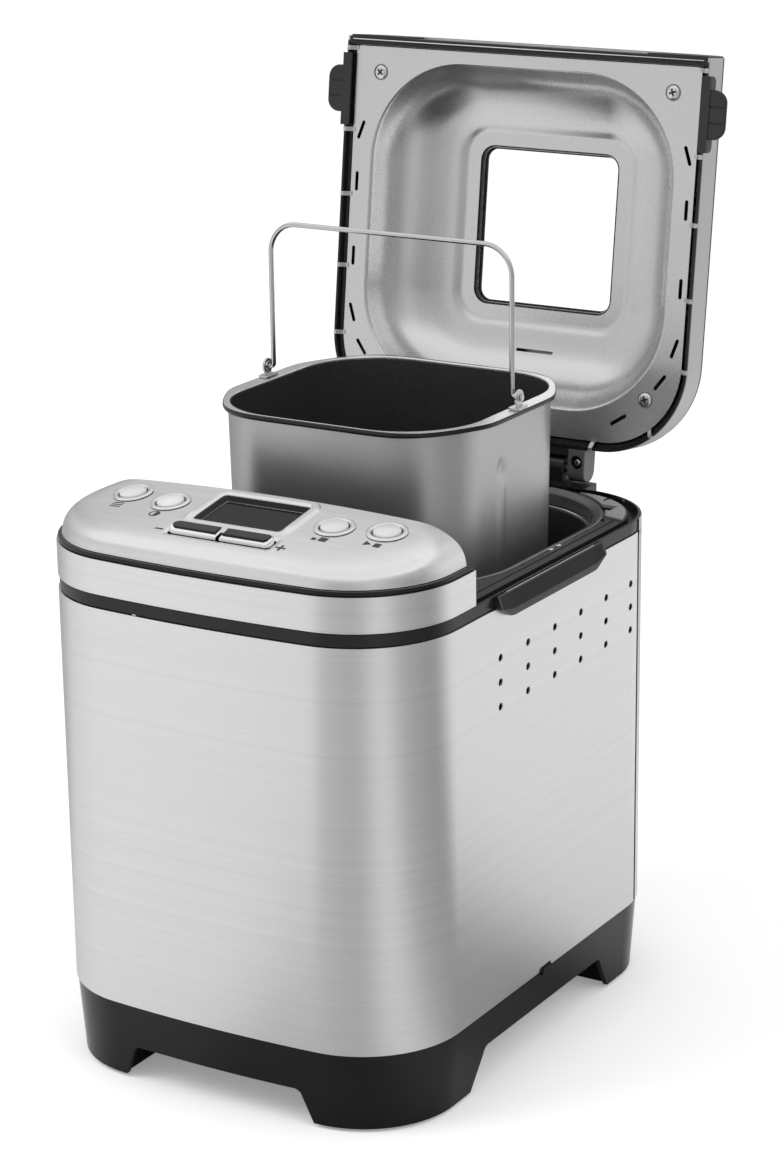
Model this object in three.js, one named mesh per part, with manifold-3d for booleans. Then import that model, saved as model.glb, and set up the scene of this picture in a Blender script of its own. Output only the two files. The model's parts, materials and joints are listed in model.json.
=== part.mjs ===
// Bread machine with its lid open and its baking pan lifted part of the way out.
// Millimetres, +Z up, X across the front, Y from front to back.
import * as THREE from 'three';
import { mergeVertices } from 'three/addons/utils/BufferGeometryUtils.js';
import Module from 'manifold-3d';

const wasm = await Module();
wasm.setup();

// ---------------------------------------------------------------- driving dimensions

const gap = 0.3;                  // air left between two touching pieces
const panCentre = 52.3;           // Y of the pan and of the drive shaft

const bodyWidth = 240;
const housingDepth = 81.4;        // control housing, from its rear face to the front of the bow
const frontBowRadius = 869;
const frontCornerRadius = 58.5;
const rearCornerRadius = 54;

const footHeight = 4;
const footRadius = 9;
const footReveal = 2;             // how far a foot stands below the skirt
const footFromSide = 31;
const footFromFront = 49;
const footFromRear = 42.5;
const skirtHeight = 46;
const skirtTaper = 3.2;
const skirtInset = 0.7;
const skirtWall = 3;
const skirtFloor = 26;
const skirtFloorThickness = 3;
const legWidth = 65;
const frontArchFlare = 8;
const frontArchHeight = 21;
const frontLegDepth = 92;
const rearLegDepth = 83.5;
const sideArchFlare = 15;
const sideArchHeight = 24.5;

const wrapHeight = 227.2;
const sheet = 1.2;
const seamFromRear = 42.5;        // where the steel wrap ends and the rear panel begins
const ventRadius = 2;
const ventColumns = 6;
const ventRows = 3;
const ventPitchY = 30.4;
const ventPitchZ = 13.75;
const ventFromSeam = 11.5;
const ventTopDrop = 28.2;         // from the wrap's top edge to the top row

const bandHeight = 7.4;
const bandInset = 0.8;
const steelBandHeight = 19.7;
const lineHeight = 2.7;
const lineInset = 0.9;

const sideBorder = 22;            // deck between the well's lip and the outside of the body
const wellHalfLength = 104.3;
const frontBorder = 10.6;
const rearBorder = 12.9;
const wellRadius = 61;
const wellLip = 5;
const wellLipRise = 0.5;
const wellDepth = 9;
const deckThickness = 2.4;
const channelWall = 1.6;
const channelWidth = 3.9;
const channelRearExtra = 4;       // the lid's rear lip swings forward as it opens
const channelDepth = 5;
const screwPocket = 5.4;          // half the side of the deck's pockets for the liner screws
const screwPocketDepth = 1.8;

const handleLength = 119.3;
const handleAhead = 34.25;        // its middle, ahead of the pan's side line
const handleBulge = 3.6;
const handleDrop = 6.6;
const handleChamfer = 14;

const chamberFloor = 92;
const chamberSheet = 0.9;
const socketFlange = 8;
const socketWall = 3;
const socketHeight = 12;
const chamberInset = 2.4;         // how far the chamber stands inside the deck's lip
const chamberFlange = 4;

const lidRunningGap = 1;

const panelSlope = 0.165;
const crownFall = 0.00029;        // how the crown falls away with the square of X
const panelHeightAtButtons = 321.7;
const panelHeightFromBack = 27.9;

const lidCrownRise = 10;
const lidOpenAngle = 97.2;
const hingeBehind = 12.8;
const hingeAboveDeck = 7.4;
const lidLipDrop = 3.6;
const lidFrameWall = 4;
const linerSheet = 1;

const domeFromSide = 19;
const domeFromFront = 13.1;
const domeFromRear = 22.5;
const domeRadius = 60;
const windowHalf = 44.6;
const windowForward = 2.45;
const windowRadius = 7;
const windowLedge = 9;
const ledgeHeight = 46.5;         // window ledge above the liner's flange
const glassThickness = 3.2;

const screwRadius = 4.6;
const frontScrewFromSide = 22.6;
const frontScrewFromFront = 20.6;
const rearScrewFromSide = 27;
const rearScrewFromRear = 33.5;

const gripFromFront = 31.6;
const gripHalf = 14;
const gripPlateHalf = 21.5;
const gripReach = 12.2;
const gripHeight = 15;
const gripPlateHeight = 7;

const panSideRoom = 20;           // from the pan's wall to the well's lip
const panEndRoom = 24.3;
const panRadius = 47;
const panHeight = 145;
const panWall = 1.2;
const panTaper = 2.5;
const panFlangeSide = 7.5;
const panFlangeFront = 2.6;
const panRingRadius = 36;
const panRingHeight = 23.4;
const panSeatGap = 0.5;
const panLift = 95;
const paddleReach = 54;
const paddleTipSlope = 12;
const paddleCrest = 7;
const paddleThickness = 4;
const paddleHubRadius = 9;
const paddleHubHeight = 20;
const paddleHubCap = 4;
const bailWire = 1.4;
const bailHeight = 83;
const bailCorner = 17;
const pivotAboveRim = 6.3;

const buttonOuterFromSide = 39.8;
const buttonOuterFromBack = 22.3;
const buttonInnerFromSide = 68.3;
const buttonInnerFromBack = 28;
const buttonRadius = 7.9;
const buttonRise = 2.4;
const buttonTravel = 1.2;
const ringRadius = 11.2;
const ringRise = 1;
const keyLength = 30.4;
const keyHalfGap = 1.1;
const keyFromBack = 59;
const keyDepth = 10.4;
const keyRise = 3.4;
const lcdHalfWidth = 27.6;
const lcdDepth = 32;
const lcdFromBack = 11.4;
const lcdSink = 2.6;

const shaftRadius = 4;
const drivePulleyRadius = 40;
const drivePulleyHub = 9;
const motorPulleyRadius = 8;
const motorPulleyHub = 5;
const beltThickness = 1.8;
const beltWidth = 6;
const beltHeight = 62;
const motorFromHousing = 34.4;
const motorRadius = 30;
const motorHeight = 58;
const inletRadius = 6;
const inletFlange = 3;
const inletZ = 70;
const inletFromCorner = 10;

// ---------------------------------------------------------------- derived levels

const halfWidth = bodyWidth / 2;
const housingBack = panCentre - wellHalfLength - frontBorder;
const bodyFront = housingDepth - housingBack;
const bodyRear = panCentre + wellHalfLength + rearBorder;
const seamZ = skirtHeight;
const bandZ = seamZ + wrapHeight;
const deckZ = bandZ + bandHeight;
const shoulderZ = deckZ + steelBandHeight;
const coverZ = shoulderZ + lineHeight;
const lidFront = housingBack + lidRunningGap;
const linerZ = deckZ + 1.4;
const lidBottomZ = deckZ + 0.8;
const hingeY = bodyRear + hingeBehind;
const hingeZ = deckZ + hingeAboveDeck;
const chamberTop = deckZ - wellDepth;
const wellHalfWidth = halfWidth - sideBorder;
const panHalfWidth = wellHalfWidth - panSideRoom;
const panHalfLength = wellHalfLength - panEndRoom;
const panFloorZ = chamberFloor + chamberSheet + panSeatGap + panRingHeight;
const rimZ = panFloorZ + panHeight;
const pivotZ = rimZ + pivotAboveRim;
const boardZ = deckZ + 13;
const wrapSeam = bodyRear - seamFromRear;
const frontArchHalfWidth = halfWidth - legWidth;
const sideArchFront = frontLegDepth - bodyFront;
const sideArchRear = bodyRear - rearLegDepth;
const motorY = housingBack - motorFromHousing;
const domeHalfWidth = halfWidth - domeFromSide;
const domeFront = lidFront + domeFromFront;
const domeRear = bodyRear - domeFromRear;
const windowCentre = (domeFront + domeRear) / 2 - windowForward;
const buttonOuterX = halfWidth - buttonOuterFromSide;
const buttonOuterY = housingBack - buttonOuterFromBack;
const buttonInnerX = halfWidth - buttonInnerFromSide;
const buttonInnerY = housingBack - buttonInnerFromBack;
const keyFront = housingBack - keyFromBack;
const lcdRear = housingBack - lcdFromBack;
const lcdFront = lcdRear - lcdDepth;
const panelHeightY = housingBack - panelHeightFromBack;

// ---------------------------------------------------------------- shape helpers

function polar(cx, cy, radius, fromDegrees, toDegrees, steps) {
  const points = [];
  for (let i = 0; i <= steps; i += 1) {
    const t = THREE.MathUtils.degToRad(THREE.MathUtils.lerp(fromDegrees, toDegrees, i / steps));
    points.push(new THREE.Vector2(cx + radius * Math.cos(t), cy + radius * Math.sin(t)));
  }
  return points;
}

// The bowed front and its two corners, from the left side round to the right side.
function frontEdge(inset) {
  const bowY = -bodyFront + frontBowRadius;
  const cornerX = halfWidth - frontCornerRadius;
  const reach = frontBowRadius - frontCornerRadius;
  const cornerY = bowY - Math.sqrt(reach * reach - cornerX * cornerX);
  const bowAngle = THREE.MathUtils.radToDeg(Math.atan2(cornerX, bowY - cornerY));
  const corner = frontCornerRadius - inset;
  return [
    ...polar(-cornerX, cornerY, corner, 180, 270 - bowAngle, 7).slice(0, -1),
    ...polar(0, bowY, frontBowRadius - inset, 270 - bowAngle, 270 + bowAngle, 8),
    ...polar(cornerX, cornerY, corner, 270 + bowAngle, 360, 7).slice(1),
  ];
}

// The straight rear and its two corners, from the right side round to the left side.
function rearEdge(inset) {
  const corner = Math.max(rearCornerRadius - inset, 2);
  const cornerX = halfWidth - inset - corner;
  const cornerY = bodyRear - inset - corner;
  return [
    ...polar(cornerX, cornerY, corner, 0, 90, 9),
    ...polar(-cornerX, cornerY, corner, 90, 180, 9),
  ];
}

const bodyOutline = (inset) => [...frontEdge(inset), ...rearEdge(inset)];

const housingOutline = (inset, back = housingBack) => [
  ...frontEdge(inset),
  new THREE.Vector2(halfWidth - inset, back),
  new THREE.Vector2(inset - halfWidth, back),
];

const lidOutline = (inset, front = lidFront) => [
  new THREE.Vector2(inset - halfWidth, front),
  new THREE.Vector2(halfWidth - inset, front),
  ...rearEdge(inset),
];

// A rectangle with round corners, always with the same number of points.
function roundedBox(halfX, fromY, toY, radius, rearRadius = radius, steps = 6) {
  return [
    ...polar(halfX - radius, fromY + radius, radius, 270, 360, steps),
    ...polar(halfX - rearRadius, toY - rearRadius, rearRadius, 0, 90, steps),
    ...polar(rearRadius - halfX, toY - rearRadius, rearRadius, 90, 180, steps),
    ...polar(radius - halfX, fromY + radius, radius, 180, 270, steps),
  ];
}

function volumeOf(geometry) {
  const position = geometry.getAttribute('position');
  const index = geometry.getIndex();
  const a = new THREE.Vector3();
  const b = new THREE.Vector3();
  const c = new THREE.Vector3();
  let six = 0;
  for (let i = 0; i < index.count; i += 3) {
    a.fromBufferAttribute(position, index.getX(i));
    b.fromBufferAttribute(position, index.getX(i + 1));
    c.fromBufferAttribute(position, index.getX(i + 2));
    six += a.dot(b.cross(c));
  }
  return six / 6;
}

// Turns a closed three.js geometry into a solid that can be joined and cut.
function solid(geometry) {
  geometry.deleteAttribute('normal');
  geometry.deleteAttribute('uv');
  const merged = mergeVertices(geometry, 1e-4);
  const inward = volumeOf(merged) < 0;
  const index = merged.getIndex().array;
  const triVerts = new Uint32Array(index.length);
  for (let i = 0; i < index.length; i += 3) {
    triVerts[i] = index[i];
    triVerts[i + 1] = inward ? index[i + 2] : index[i + 1];
    triVerts[i + 2] = inward ? index[i + 1] : index[i + 2];
  }
  const vertProperties = new Float32Array(merged.getAttribute('position').array);
  return new wasm.Manifold(new wasm.Mesh({ numProp: 3, vertProperties, triVerts }));
}

function geometryOf(shape) {
  const mesh = shape.getMesh();
  const geometry = new THREE.BufferGeometry();
  const position = new Float32Array(mesh.vertProperties);
  geometry.setAttribute('position', new THREE.BufferAttribute(position, 3));
  geometry.setIndex(new THREE.BufferAttribute(new Uint32Array(mesh.triVerts), 1));
  geometry.computeVertexNormals();
  return geometry;
}

// An outline raised from one level to another.
function slab(outline, fromZ, toZ) {
  const options = { depth: toZ - fromZ, bevelEnabled: false };
  const geometry = new THREE.ExtrudeGeometry(new THREE.Shape(outline), options);
  return solid(geometry.translate(0, 0, fromZ));
}

// An outline in Y and Z, carried along X.
function beam(outline, fromX, toX) {
  const options = { depth: toX - fromX, bevelEnabled: false };
  const geometry = new THREE.ExtrudeGeometry(new THREE.Shape(outline), options);
  geometry.rotateX(Math.PI / 2);
  geometry.rotateZ(Math.PI / 2);
  return solid(geometry.translate(fromX, 0, 0));
}

// An outline in X and Z, carried along Y.
function rail(outline, fromY, toY) {
  const options = { depth: toY - fromY, bevelEnabled: false };
  const geometry = new THREE.ExtrudeGeometry(new THREE.Shape(outline), options);
  geometry.rotateX(Math.PI / 2);
  return solid(geometry.translate(0, toY, 0));
}

function block(fromX, toX, fromY, toY, fromZ, toZ) {
  const geometry = new THREE.BoxGeometry(toX - fromX, toY - fromY, toZ - fromZ);
  return solid(geometry.translate((fromX + toX) / 2, (fromY + toY) / 2, (fromZ + toZ) / 2));
}

// A round bar along +Z.
function rod(x, y, fromZ, toZ, radius, sides = 24) {
  const geometry = new THREE.CylinderGeometry(radius, radius, toZ - fromZ, sides);
  geometry.rotateX(Math.PI / 2);
  return solid(geometry.translate(x, y, (fromZ + toZ) / 2));
}

// A round bar along X or Y.
function crossRod(axis, from, to, a, b, radius, sides = 16) {
  const geometry = new THREE.CylinderGeometry(radius, radius, to - from, sides);
  if (axis === 'x') {
    geometry.rotateZ(Math.PI / 2);
    return solid(geometry.translate((from + to) / 2, a, b));
  }
  return solid(geometry.translate(a, (from + to) / 2, b));
}

// A turned piece: radius and height pairs round a vertical axis.
function turned(profile, sides = 24) {
  const points = profile.map(([radius, z]) => new THREE.Vector2(radius, z));
  const geometry = new THREE.LatheGeometry(points, sides);
  geometry.rotateX(Math.PI / 2);
  return solid(geometry);
}

// Skins a stack of outlines that all have the same number of points.
function loft(layers, closed = false) {
  const count = layers[0].outline.length;
  const position = [];
  const index = [];
  for (const { outline, z } of layers) {
    for (const p of outline) position.push(p.x, p.y, z);
  }
  const spans = closed ? layers.length : layers.length - 1;
  for (let k = 0; k < spans; k += 1) {
    const low = k * count;
    const high = ((k + 1) % layers.length) * count;
    for (let i = 0; i < count; i += 1) {
      const j = (i + 1) % count;
      index.push(low + i, low + j, high + j, low + i, high + j, high + i);
    }
  }
  if (!closed) {
    const top = (layers.length - 1) * count;
    for (const [a, b, c] of THREE.ShapeUtils.triangulateShape(layers[0].outline, [])) {
      index.push(a, c, b);
    }
    for (const [a, b, c] of THREE.ShapeUtils.triangulateShape(layers[layers.length - 1].outline, [])) {
      index.push(top + a, top + b, top + c);
    }
  }
  const geometry = new THREE.BufferGeometry();
  geometry.setAttribute('position', new THREE.Float32BufferAttribute(position, 3));
  geometry.setIndex(index);
  return solid(geometry);
}

const union = (...shapes) => shapes.reduce((all, shape) => all.add(shape));

// A wall that follows an outline between two insets.
function wall(outline, outer, inner, fromZ, toZ) {
  return slab(outline(outer), fromZ, toZ).subtract(slab(outline(inner), fromZ - 1, toZ + 1));
}

const left = (shape) => shape.mirror([1, 0, 0]);

// ---------------------------------------------------------------- materials

const finish = (color, roughness, metalness) => new THREE.MeshStandardMaterial({ color, roughness, metalness });
const brushedSteel = () => finish(0xc9c9c7, 0.32, 1);
const pressedAluminium = () => finish(0xb9b9b8, 0.42, 0.9);
const glossBlack = () => finish(0x101011, 0.16, 0);
const satinBlack = () => finish(0x1a1a1b, 0.42, 0);
const rubber = () => finish(0x17171a, 0.85, 0);
const chrome = () => finish(0xdedede, 0.1, 1);
const whiteCap = () => finish(0xe6e6e4, 0.25, 0.3);
const galvanised = () => finish(0x9fa1a3, 0.5, 0.9);
const panGrey = () => finish(0x8f9092, 0.5, 0.75);
const glass = () => finish(0xdfe6e6, 0.05, 0);
const board = () => finish(0x1f5a34, 0.55, 0);
const bronze = () => finish(0x8a6a3a, 0.4, 0.8);
const copperStack = () => finish(0x77797c, 0.5, 0.7);

const machine = new THREE.Group();
const lidGroup = new THREE.Group();
const panGroup = new THREE.Group();

function add(name, shape, material, parent = machine) {
  const mesh = new THREE.Mesh(geometryOf(shape), material);
  mesh.name = name;
  parent.add(mesh);
  return mesh;
}

// ---------------------------------------------------------------- base

const legBottom = footReveal;
const skirtOuter = (inset, fromZ, toZ) => loft([
  { outline: bodyOutline(skirtInset + skirtTaper + inset), z: fromZ },
  { outline: bodyOutline(skirtInset + inset), z: toZ },
]);
const skirtInner = skirtOuter(skirtWall, legBottom, skirtHeight);

function archCut() {
  const front = new THREE.Shape([
    new THREE.Vector2(-frontArchHalfWidth - frontArchFlare, -1),
    new THREE.Vector2(frontArchHalfWidth + frontArchFlare, -1),
    new THREE.Vector2(frontArchHalfWidth, frontArchHeight),
    new THREE.Vector2(-frontArchHalfWidth, frontArchHeight),
  ]).getPoints();
  const side = new THREE.Shape([
    new THREE.Vector2(sideArchFront - sideArchFlare, -1),
    new THREE.Vector2(sideArchRear + sideArchFlare, -1),
    new THREE.Vector2(sideArchRear, sideArchHeight),
    new THREE.Vector2(sideArchFront, sideArchHeight),
  ]).getPoints();
  return rail(front, -bodyWidth, bodyWidth).add(beam(side, -bodyWidth, bodyWidth));
}

const legFrontY = sideArchFront - sideArchFlare - skirtWall;
const legRearY = sideArchRear + sideArchFlare + skirtWall;
const legSideX = frontArchHalfWidth + frontArchFlare + skirtWall;
const far = bodyWidth;

function legRooms(fromZ, toZ) {
  return union(
    block(legSideX, far, -far, legFrontY, fromZ, toZ),
    block(-far, -legSideX, -far, legFrontY, fromZ, toZ),
    block(legSideX, far, legRearY, far, fromZ, toZ),
    block(-far, -legSideX, legRearY, far, fromZ, toZ),
  );
}

const footX = halfWidth - footFromSide;
const feet = [
  ['front_right', footX, footFromFront - bodyFront],
  ['front_left', -footX, footFromFront - bodyFront],
  ['rear_right', footX, bodyRear - footFromRear],
  ['rear_left', -footX, bodyRear - footFromRear],
];
const footSeat = footHeight + gap;

function baseSkirt() {
  const upperRoom = skirtInner.intersect(block(-far, far, -far, far, skirtFloor + skirtFloorThickness, far));
  const legRoom = skirtInner.intersect(legRooms(footSeat + skirtWall, far));
  const underRoom = skirtInner
    .intersect(block(-far, far, -far, far, -1, skirtFloor))
    .subtract(union(
      block(legSideX - skirtWall, far, -far, legFrontY + skirtWall, -1, far),
      block(-far, skirtWall - legSideX, -far, legFrontY + skirtWall, -1, far),
      block(legSideX - skirtWall, far, legRearY - skirtWall, far, -1, far),
      block(-far, skirtWall - legSideX, legRearY - skirtWall, far, -1, far),
    ));
  let skirt = skirtOuter(0, legBottom, skirtHeight)
    .subtract(upperRoom)
    .subtract(legRoom)
    .subtract(underRoom)
    .subtract(archCut());
  for (const [, x, y] of feet) skirt = skirt.subtract(rod(x, y, -1, footSeat, footRadius + gap));
  return skirt;
}

add('base_skirt', baseSkirt(), glossBlack());
for (const [place, x, y] of feet) add(`foot_${place}`, rod(x, y, 0, footHeight, footRadius), rubber());

// The steel plate on the skirt's floor, its posts up to the chamber and its motor bracket.
const plateZ = skirtFloor + skirtFloorThickness + gap;
const plateThickness = 2;
const plateTop = plateZ + plateThickness;
const motorPlateZ = beltHeight + beltWidth + 7;
const postRadius = 5;
const postX = wellHalfWidth - 28;
const postReach = wellHalfLength - 28.3;
const motorLegX = motorRadius + 12;
const motorLegY = motorRadius - 10;

function chassisPlate() {
  const plate = slab(bodyOutline(14), plateZ, plateTop);
  const corners = [[1, 1], [1, -1], [-1, 1], [-1, -1]];
  const posts = corners.map(([sx, sy]) => (
    rod(sx * postX, panCentre + sy * postReach, plateTop - 1, chamberFloor - gap, postRadius, 12)));
  const legs = corners.map(([sx, sy]) => (
    rod(sx * motorLegX, motorY + sy * motorLegY, plateTop - 1, motorPlateZ + 1, postRadius, 12)));
  const shelf = slab(
    roundedBox(motorLegX + 8, motorY - motorLegY - 8, motorY + motorLegY + 8, 4, 4, 2),
    motorPlateZ,
    motorPlateZ + plateThickness,
  ).subtract(rod(0, motorY, 0, far, shaftRadius + 4));
  return union(plate, shelf, ...posts, ...legs);
}

add('chassis_plate', chassisPlate(), galvanised());

// ---------------------------------------------------------------- outer walls

const seamCut = (fromY, toY) => block(-far, far, fromY, toY, 0, far * 2);

function outerWrap() {
  let shell = wall(bodyOutline, 0, sheet, seamZ + gap, bandZ)
    .subtract(seamCut(wrapSeam, far));
  const topRow = bandZ - ventTopDrop;
  for (let column = 0; column < ventColumns; column += 1) {
    for (let row = 0; row < ventRows; row += 1) {
      const y = wrapSeam - ventFromSeam - column * ventPitchY;
      const z = topRow - row * ventPitchZ;
      shell = shell.subtract(crossRod('x', -far, far, y, z, ventRadius, 8));
    }
  }
  return shell;
}

add('outer_wrap', outerWrap(), brushedSteel());

const inletX = rearCornerRadius + inletFromCorner - halfWidth;
const rearVentHalf = 34;
const rearVentHeight = 3;
const rearVentPitch = 8;
const rearVentCount = 6;
const rearVentLowest = 196;

function rearPanel() {
  let shell = wall(bodyOutline, 0, sheet, seamZ + gap, bandZ)
    .subtract(seamCut(-far, wrapSeam + gap));
  for (let i = 0; i < rearVentCount; i += 1) {
    const z = rearVentLowest + i * rearVentPitch;
    shell = shell.subtract(block(-rearVentHalf, rearVentHalf, bodyRear - 5, far, z, z + rearVentHeight));
  }
  return shell.subtract(crossRod('y', bodyRear - 5, far, inletX, inletZ, inletRadius + gap, 16));
}

add('rear_panel', rearPanel(), brushedSteel());

function cordInlet() {
  const flange = inletRadius + inletFlange;
  const bush = crossRod('y', bodyRear - 8, bodyRear + 3, inletX, inletZ, inletRadius, 16)
    .add(crossRod('y', bodyRear + gap, bodyRear + 3, inletX, inletZ, flange, 16));
  return bush.subtract(crossRod('y', bodyRear - 12, bodyRear + 12, inletX, inletZ, inletRadius - 2.5, 16));
}

add('cord_inlet', cordInlet(), satinBlack());

// ---------------------------------------------------------------- deck

const wellOutline = (grow) => roundedBox(
  wellHalfWidth + grow,
  panCentre - wellHalfLength - grow,
  panCentre + wellHalfLength + grow,
  wellRadius + grow,
);

const platformInset = bandInset + channelWall + channelWidth;
const platformFront = lidFront + 3.3;

const platformOutline = () => [
  new THREE.Vector2(platformInset - halfWidth, platformFront),
  new THREE.Vector2(halfWidth - platformInset, platformFront),
  ...rearEdge(platformInset).map((p) => new THREE.Vector2(p.x, p.y - channelRearExtra)),
];

const frontScrewX = halfWidth - frontScrewFromSide;
const rearScrewX = halfWidth - rearScrewFromSide;
const screwPlaces = [
  ['front_right', frontScrewX, lidFront + frontScrewFromFront],
  ['front_left', -frontScrewX, lidFront + frontScrewFromFront],
  ['rear_right', rearScrewX, bodyRear - rearScrewFromRear],
  ['rear_left', -rearScrewX, bodyRear - rearScrewFromRear],
];

const handleFront = panCentre - handleAhead - handleLength / 2;
const handleRear = handleFront + handleLength;

function deckFrame() {
  const band = wall(bodyOutline, bandInset, bandInset + channelWall, bandZ + gap, deckZ);
  const floor = slab(bodyOutline(bandInset + channelWall / 2), bandZ + gap, deckZ - channelDepth)
    .subtract(block(-far, far, -far, housingBack - 8, 0, far * 2));
  const platform = slab(platformOutline(), bandZ + gap, deckZ);
  const lip = slab(wellOutline(wellLip), deckZ - 1, deckZ + wellLipRise);
  const skirt = slab(wellOutline(deckThickness), chamberTop + gap, deckZ);
  let frame = union(band, floor, platform, lip, skirt)
    .subtract(slab(wellOutline(0), 0, far * 2));
  for (const [, x, y] of screwPlaces) {
    frame = frame.subtract(block(x - screwPocket, x + screwPocket, y - screwPocket, y + screwPocket,
      deckZ - screwPocketDepth, far * 2));
  }
  return frame;
}

add('deck_frame', deckFrame(), satinBlack());

// A side handle: a shallow bulging lip that hangs from the band, with sloping ends.
function sideHandle() {
  const wrapX = halfWidth + gap;
  const bandX = halfWidth - bandInset + gap;
  const outerX = wrapX + handleBulge;
  const section = [
    new THREE.Vector2(wrapX, bandZ - handleDrop),
    new THREE.Vector2(wrapX + 0.9, bandZ - handleDrop),
    new THREE.Vector2(outerX, bandZ),
    new THREE.Vector2(outerX, deckZ - gap),
    new THREE.Vector2(bandX, deckZ - gap),
    new THREE.Vector2(bandX, bandZ + gap),
    new THREE.Vector2(wrapX, bandZ + gap),
  ];
  const profile = [
    new THREE.Vector2(handleFront, bandZ),
    new THREE.Vector2(handleFront + handleChamfer, bandZ - handleDrop - 1),
    new THREE.Vector2(handleRear - handleChamfer, bandZ - handleDrop - 1),
    new THREE.Vector2(handleRear, bandZ),
    new THREE.Vector2(handleRear, deckZ),
    new THREE.Vector2(handleFront, deckZ),
  ];
  return rail(section, handleFront, handleRear).intersect(beam(profile, 0, far));
}

add('handle_right', sideHandle(), satinBlack());
add('handle_left', left(sideHandle()), satinBlack());

// ---------------------------------------------------------------- domed covers

// How far a domed cover has drawn in at each height above its edge.
const shoulder = [
  [0, 0],
  [0.7, 4],
  [2.3, 8],
  [5.8, 12],
  [11.3, 15.5],
  [18.8, 18.5],
  [28.8, 21],
  [40.8, 24],
];
const lidShoulder = [...shoulder, [52, 27.6], [66, 30.4], [84, 33]];
const coverInset = 3.1;

// A block whose top is a crown across X; centreHeight gives its ridge along Y.
function crown(stations, centreHeight, drop) {
  const steps = 12;
  const layers = stations.map((y) => {
    const outline = [new THREE.Vector2(-halfWidth, 0), new THREE.Vector2(halfWidth, 0)];
    for (let i = 0; i <= steps; i += 1) {
      const x = halfWidth - (bodyWidth * i) / steps;
      outline.push(new THREE.Vector2(x, centreHeight(y) - crownFall * x * x - drop));
    }
    return { outline, z: -y };
  });
  return turnUpright(loft(layers));
}

// Stands a loft made along Z up, so that its outlines lie in X and Z.
function turnUpright(shape) {
  return shape.rotate([90, 0, 0]);
}

function dome(outline, steps, stations, centreHeight, draw, drop) {
  const layers = steps.map(([inset, rise]) => (
    { outline: outline(coverInset + draw + inset), z: coverZ + gap + rise - drop }));
  return loft(layers).intersect(crown(stations, centreHeight, drop));
}

const panelRidge = (y) => panelHeightAtButtons + panelSlope * (y - panelHeightY);
const panelStations = [-bodyFront, housingBack];
const panelTop = (x, y) => panelRidge(y) - crownFall * x * x;
const panelTilt = Math.atan(panelSlope);

const lidRidgeStart = panelRidge(housingBack);
const lidStations = [];
for (let i = 0; i <= 6; i += 1) lidStations.push(THREE.MathUtils.lerp(lidFront, bodyRear, i / 6));
const lidRidge = (y) => {
  const t = (y - lidFront) / (bodyRear - lidFront);
  return lidRidgeStart + lidCrownRise * 4 * t * (1 - t);
};

// ---------------------------------------------------------------- control housing

add('housing_band', wall(housingOutline, 0, sheet, deckZ + gap, shoulderZ)
  .subtract(block(-halfWidth + sheet, halfWidth - sheet, housingBack - 20, far, 0, far * 2)), brushedSteel());

const frameInset = sheet + gap;
const frameWall = 2.5;
const ledgeReach = 10;
const bulkhead = 2.4;

function housingFrame() {
  const outline = (inset) => housingOutline(inset, housingBack);
  const inner = (inset) => housingOutline(inset, housingBack - bulkhead);
  const sides = slab(outline(frameInset), deckZ + gap, coverZ)
    .subtract(slab(inner(frameInset + frameWall), 0, far * 2));
  const ledge = slab(outline(frameInset + 1), boardZ - 2.3, boardZ - gap)
    .subtract(slab(inner(ledgeReach), 0, far * 2));
  const line = slab(outline(lineInset), shoulderZ + gap, coverZ)
    .subtract(slab(inner(frameInset + frameWall), 0, far * 2));
  const plate = dome((inset) => housingOutline(inset + gap), shoulder, panelStations, panelRidge, sheet, sheet + gap)
    .intersect(block(-far, far, housingBack - bulkhead, far, coverZ - 1, far * 2));
  return union(sides, ledge, line, plate);
}

add('housing_frame', housingFrame(), satinBlack());

// Places a shape made flat at the origin square on the sloping, crowned panel.
function onPanel(shape, x, y) {
  const sideTilt = Math.atan(2 * crownFall * x);
  return shape
    .rotate([THREE.MathUtils.radToDeg(panelTilt), THREE.MathUtils.radToDeg(sideTilt), 0])
    .translate([x, y, panelTop(x, y)]);
}

const buttons = [
  ['program', -buttonOuterX, buttonOuterY],
  ['crust', -buttonInnerX, buttonInnerY],
  ['size', buttonInnerX, buttonInnerY],
  ['start', buttonOuterX, buttonOuterY],
];
const collarRadius = buttonRadius + gap + 1.2;
const keySlotFront = keyFront - gap;
const keySlotRear = keyFront + keyDepth + gap;
const lcdLength = (lcdRear - lcdFront) / Math.cos(panelTilt);
const lcdMiddle = (lcdRear + lcdFront) / 2;
const keyMiddle = keyFront + keyDepth / 2;

function flatBox(halfX, halfY, fromZ, toZ) {
  return block(-halfX, halfX, -halfY, halfY, fromZ, toZ);
}

function controlPanel() {
  const outer = dome(housingOutline, shoulder, panelStations, panelRidge, 0, 0);
  const inner = dome((inset) => housingOutline(inset, housingBack + 1), shoulder,
    [-bodyFront, housingBack + 1], panelRidge, sheet, sheet);
  let cover = outer.subtract(inner).subtract(block(-far, far, -far, far, 0, coverZ + gap));
  for (const [, x, y] of buttons) {
    cover = cover.subtract(onPanel(rod(0, 0, -8, 8, collarRadius + gap), x, y));
  }
  cover = cover.subtract(onPanel(flatBox(lcdHalfWidth, lcdLength / 2, -8, 8), 0, lcdMiddle));
  const keySlot = flatBox(keyHalfGap + keyLength + gap, (keySlotRear - keySlotFront) / 2, -8, 8);
  return cover.subtract(onPanel(keySlot, 0, keyMiddle));
}

add('control_panel', controlPanel(), brushedSteel());

const boardTop = boardZ + 1.6;
const boardFront = keyFront - 6.4;
const boardBack = housingBack - 7.4;

function controlBoard() {
  const reach = halfWidth - ledgeReach + 3;
  const outline = roundedBox(reach, boardFront + 34, boardBack, 3, 3, 2);
  const front = roundedBox(60, boardFront, boardFront + 40, 3, 3, 2);
  return slab(outline, boardZ, boardTop).add(slab(front, boardZ, boardTop));
}

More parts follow.
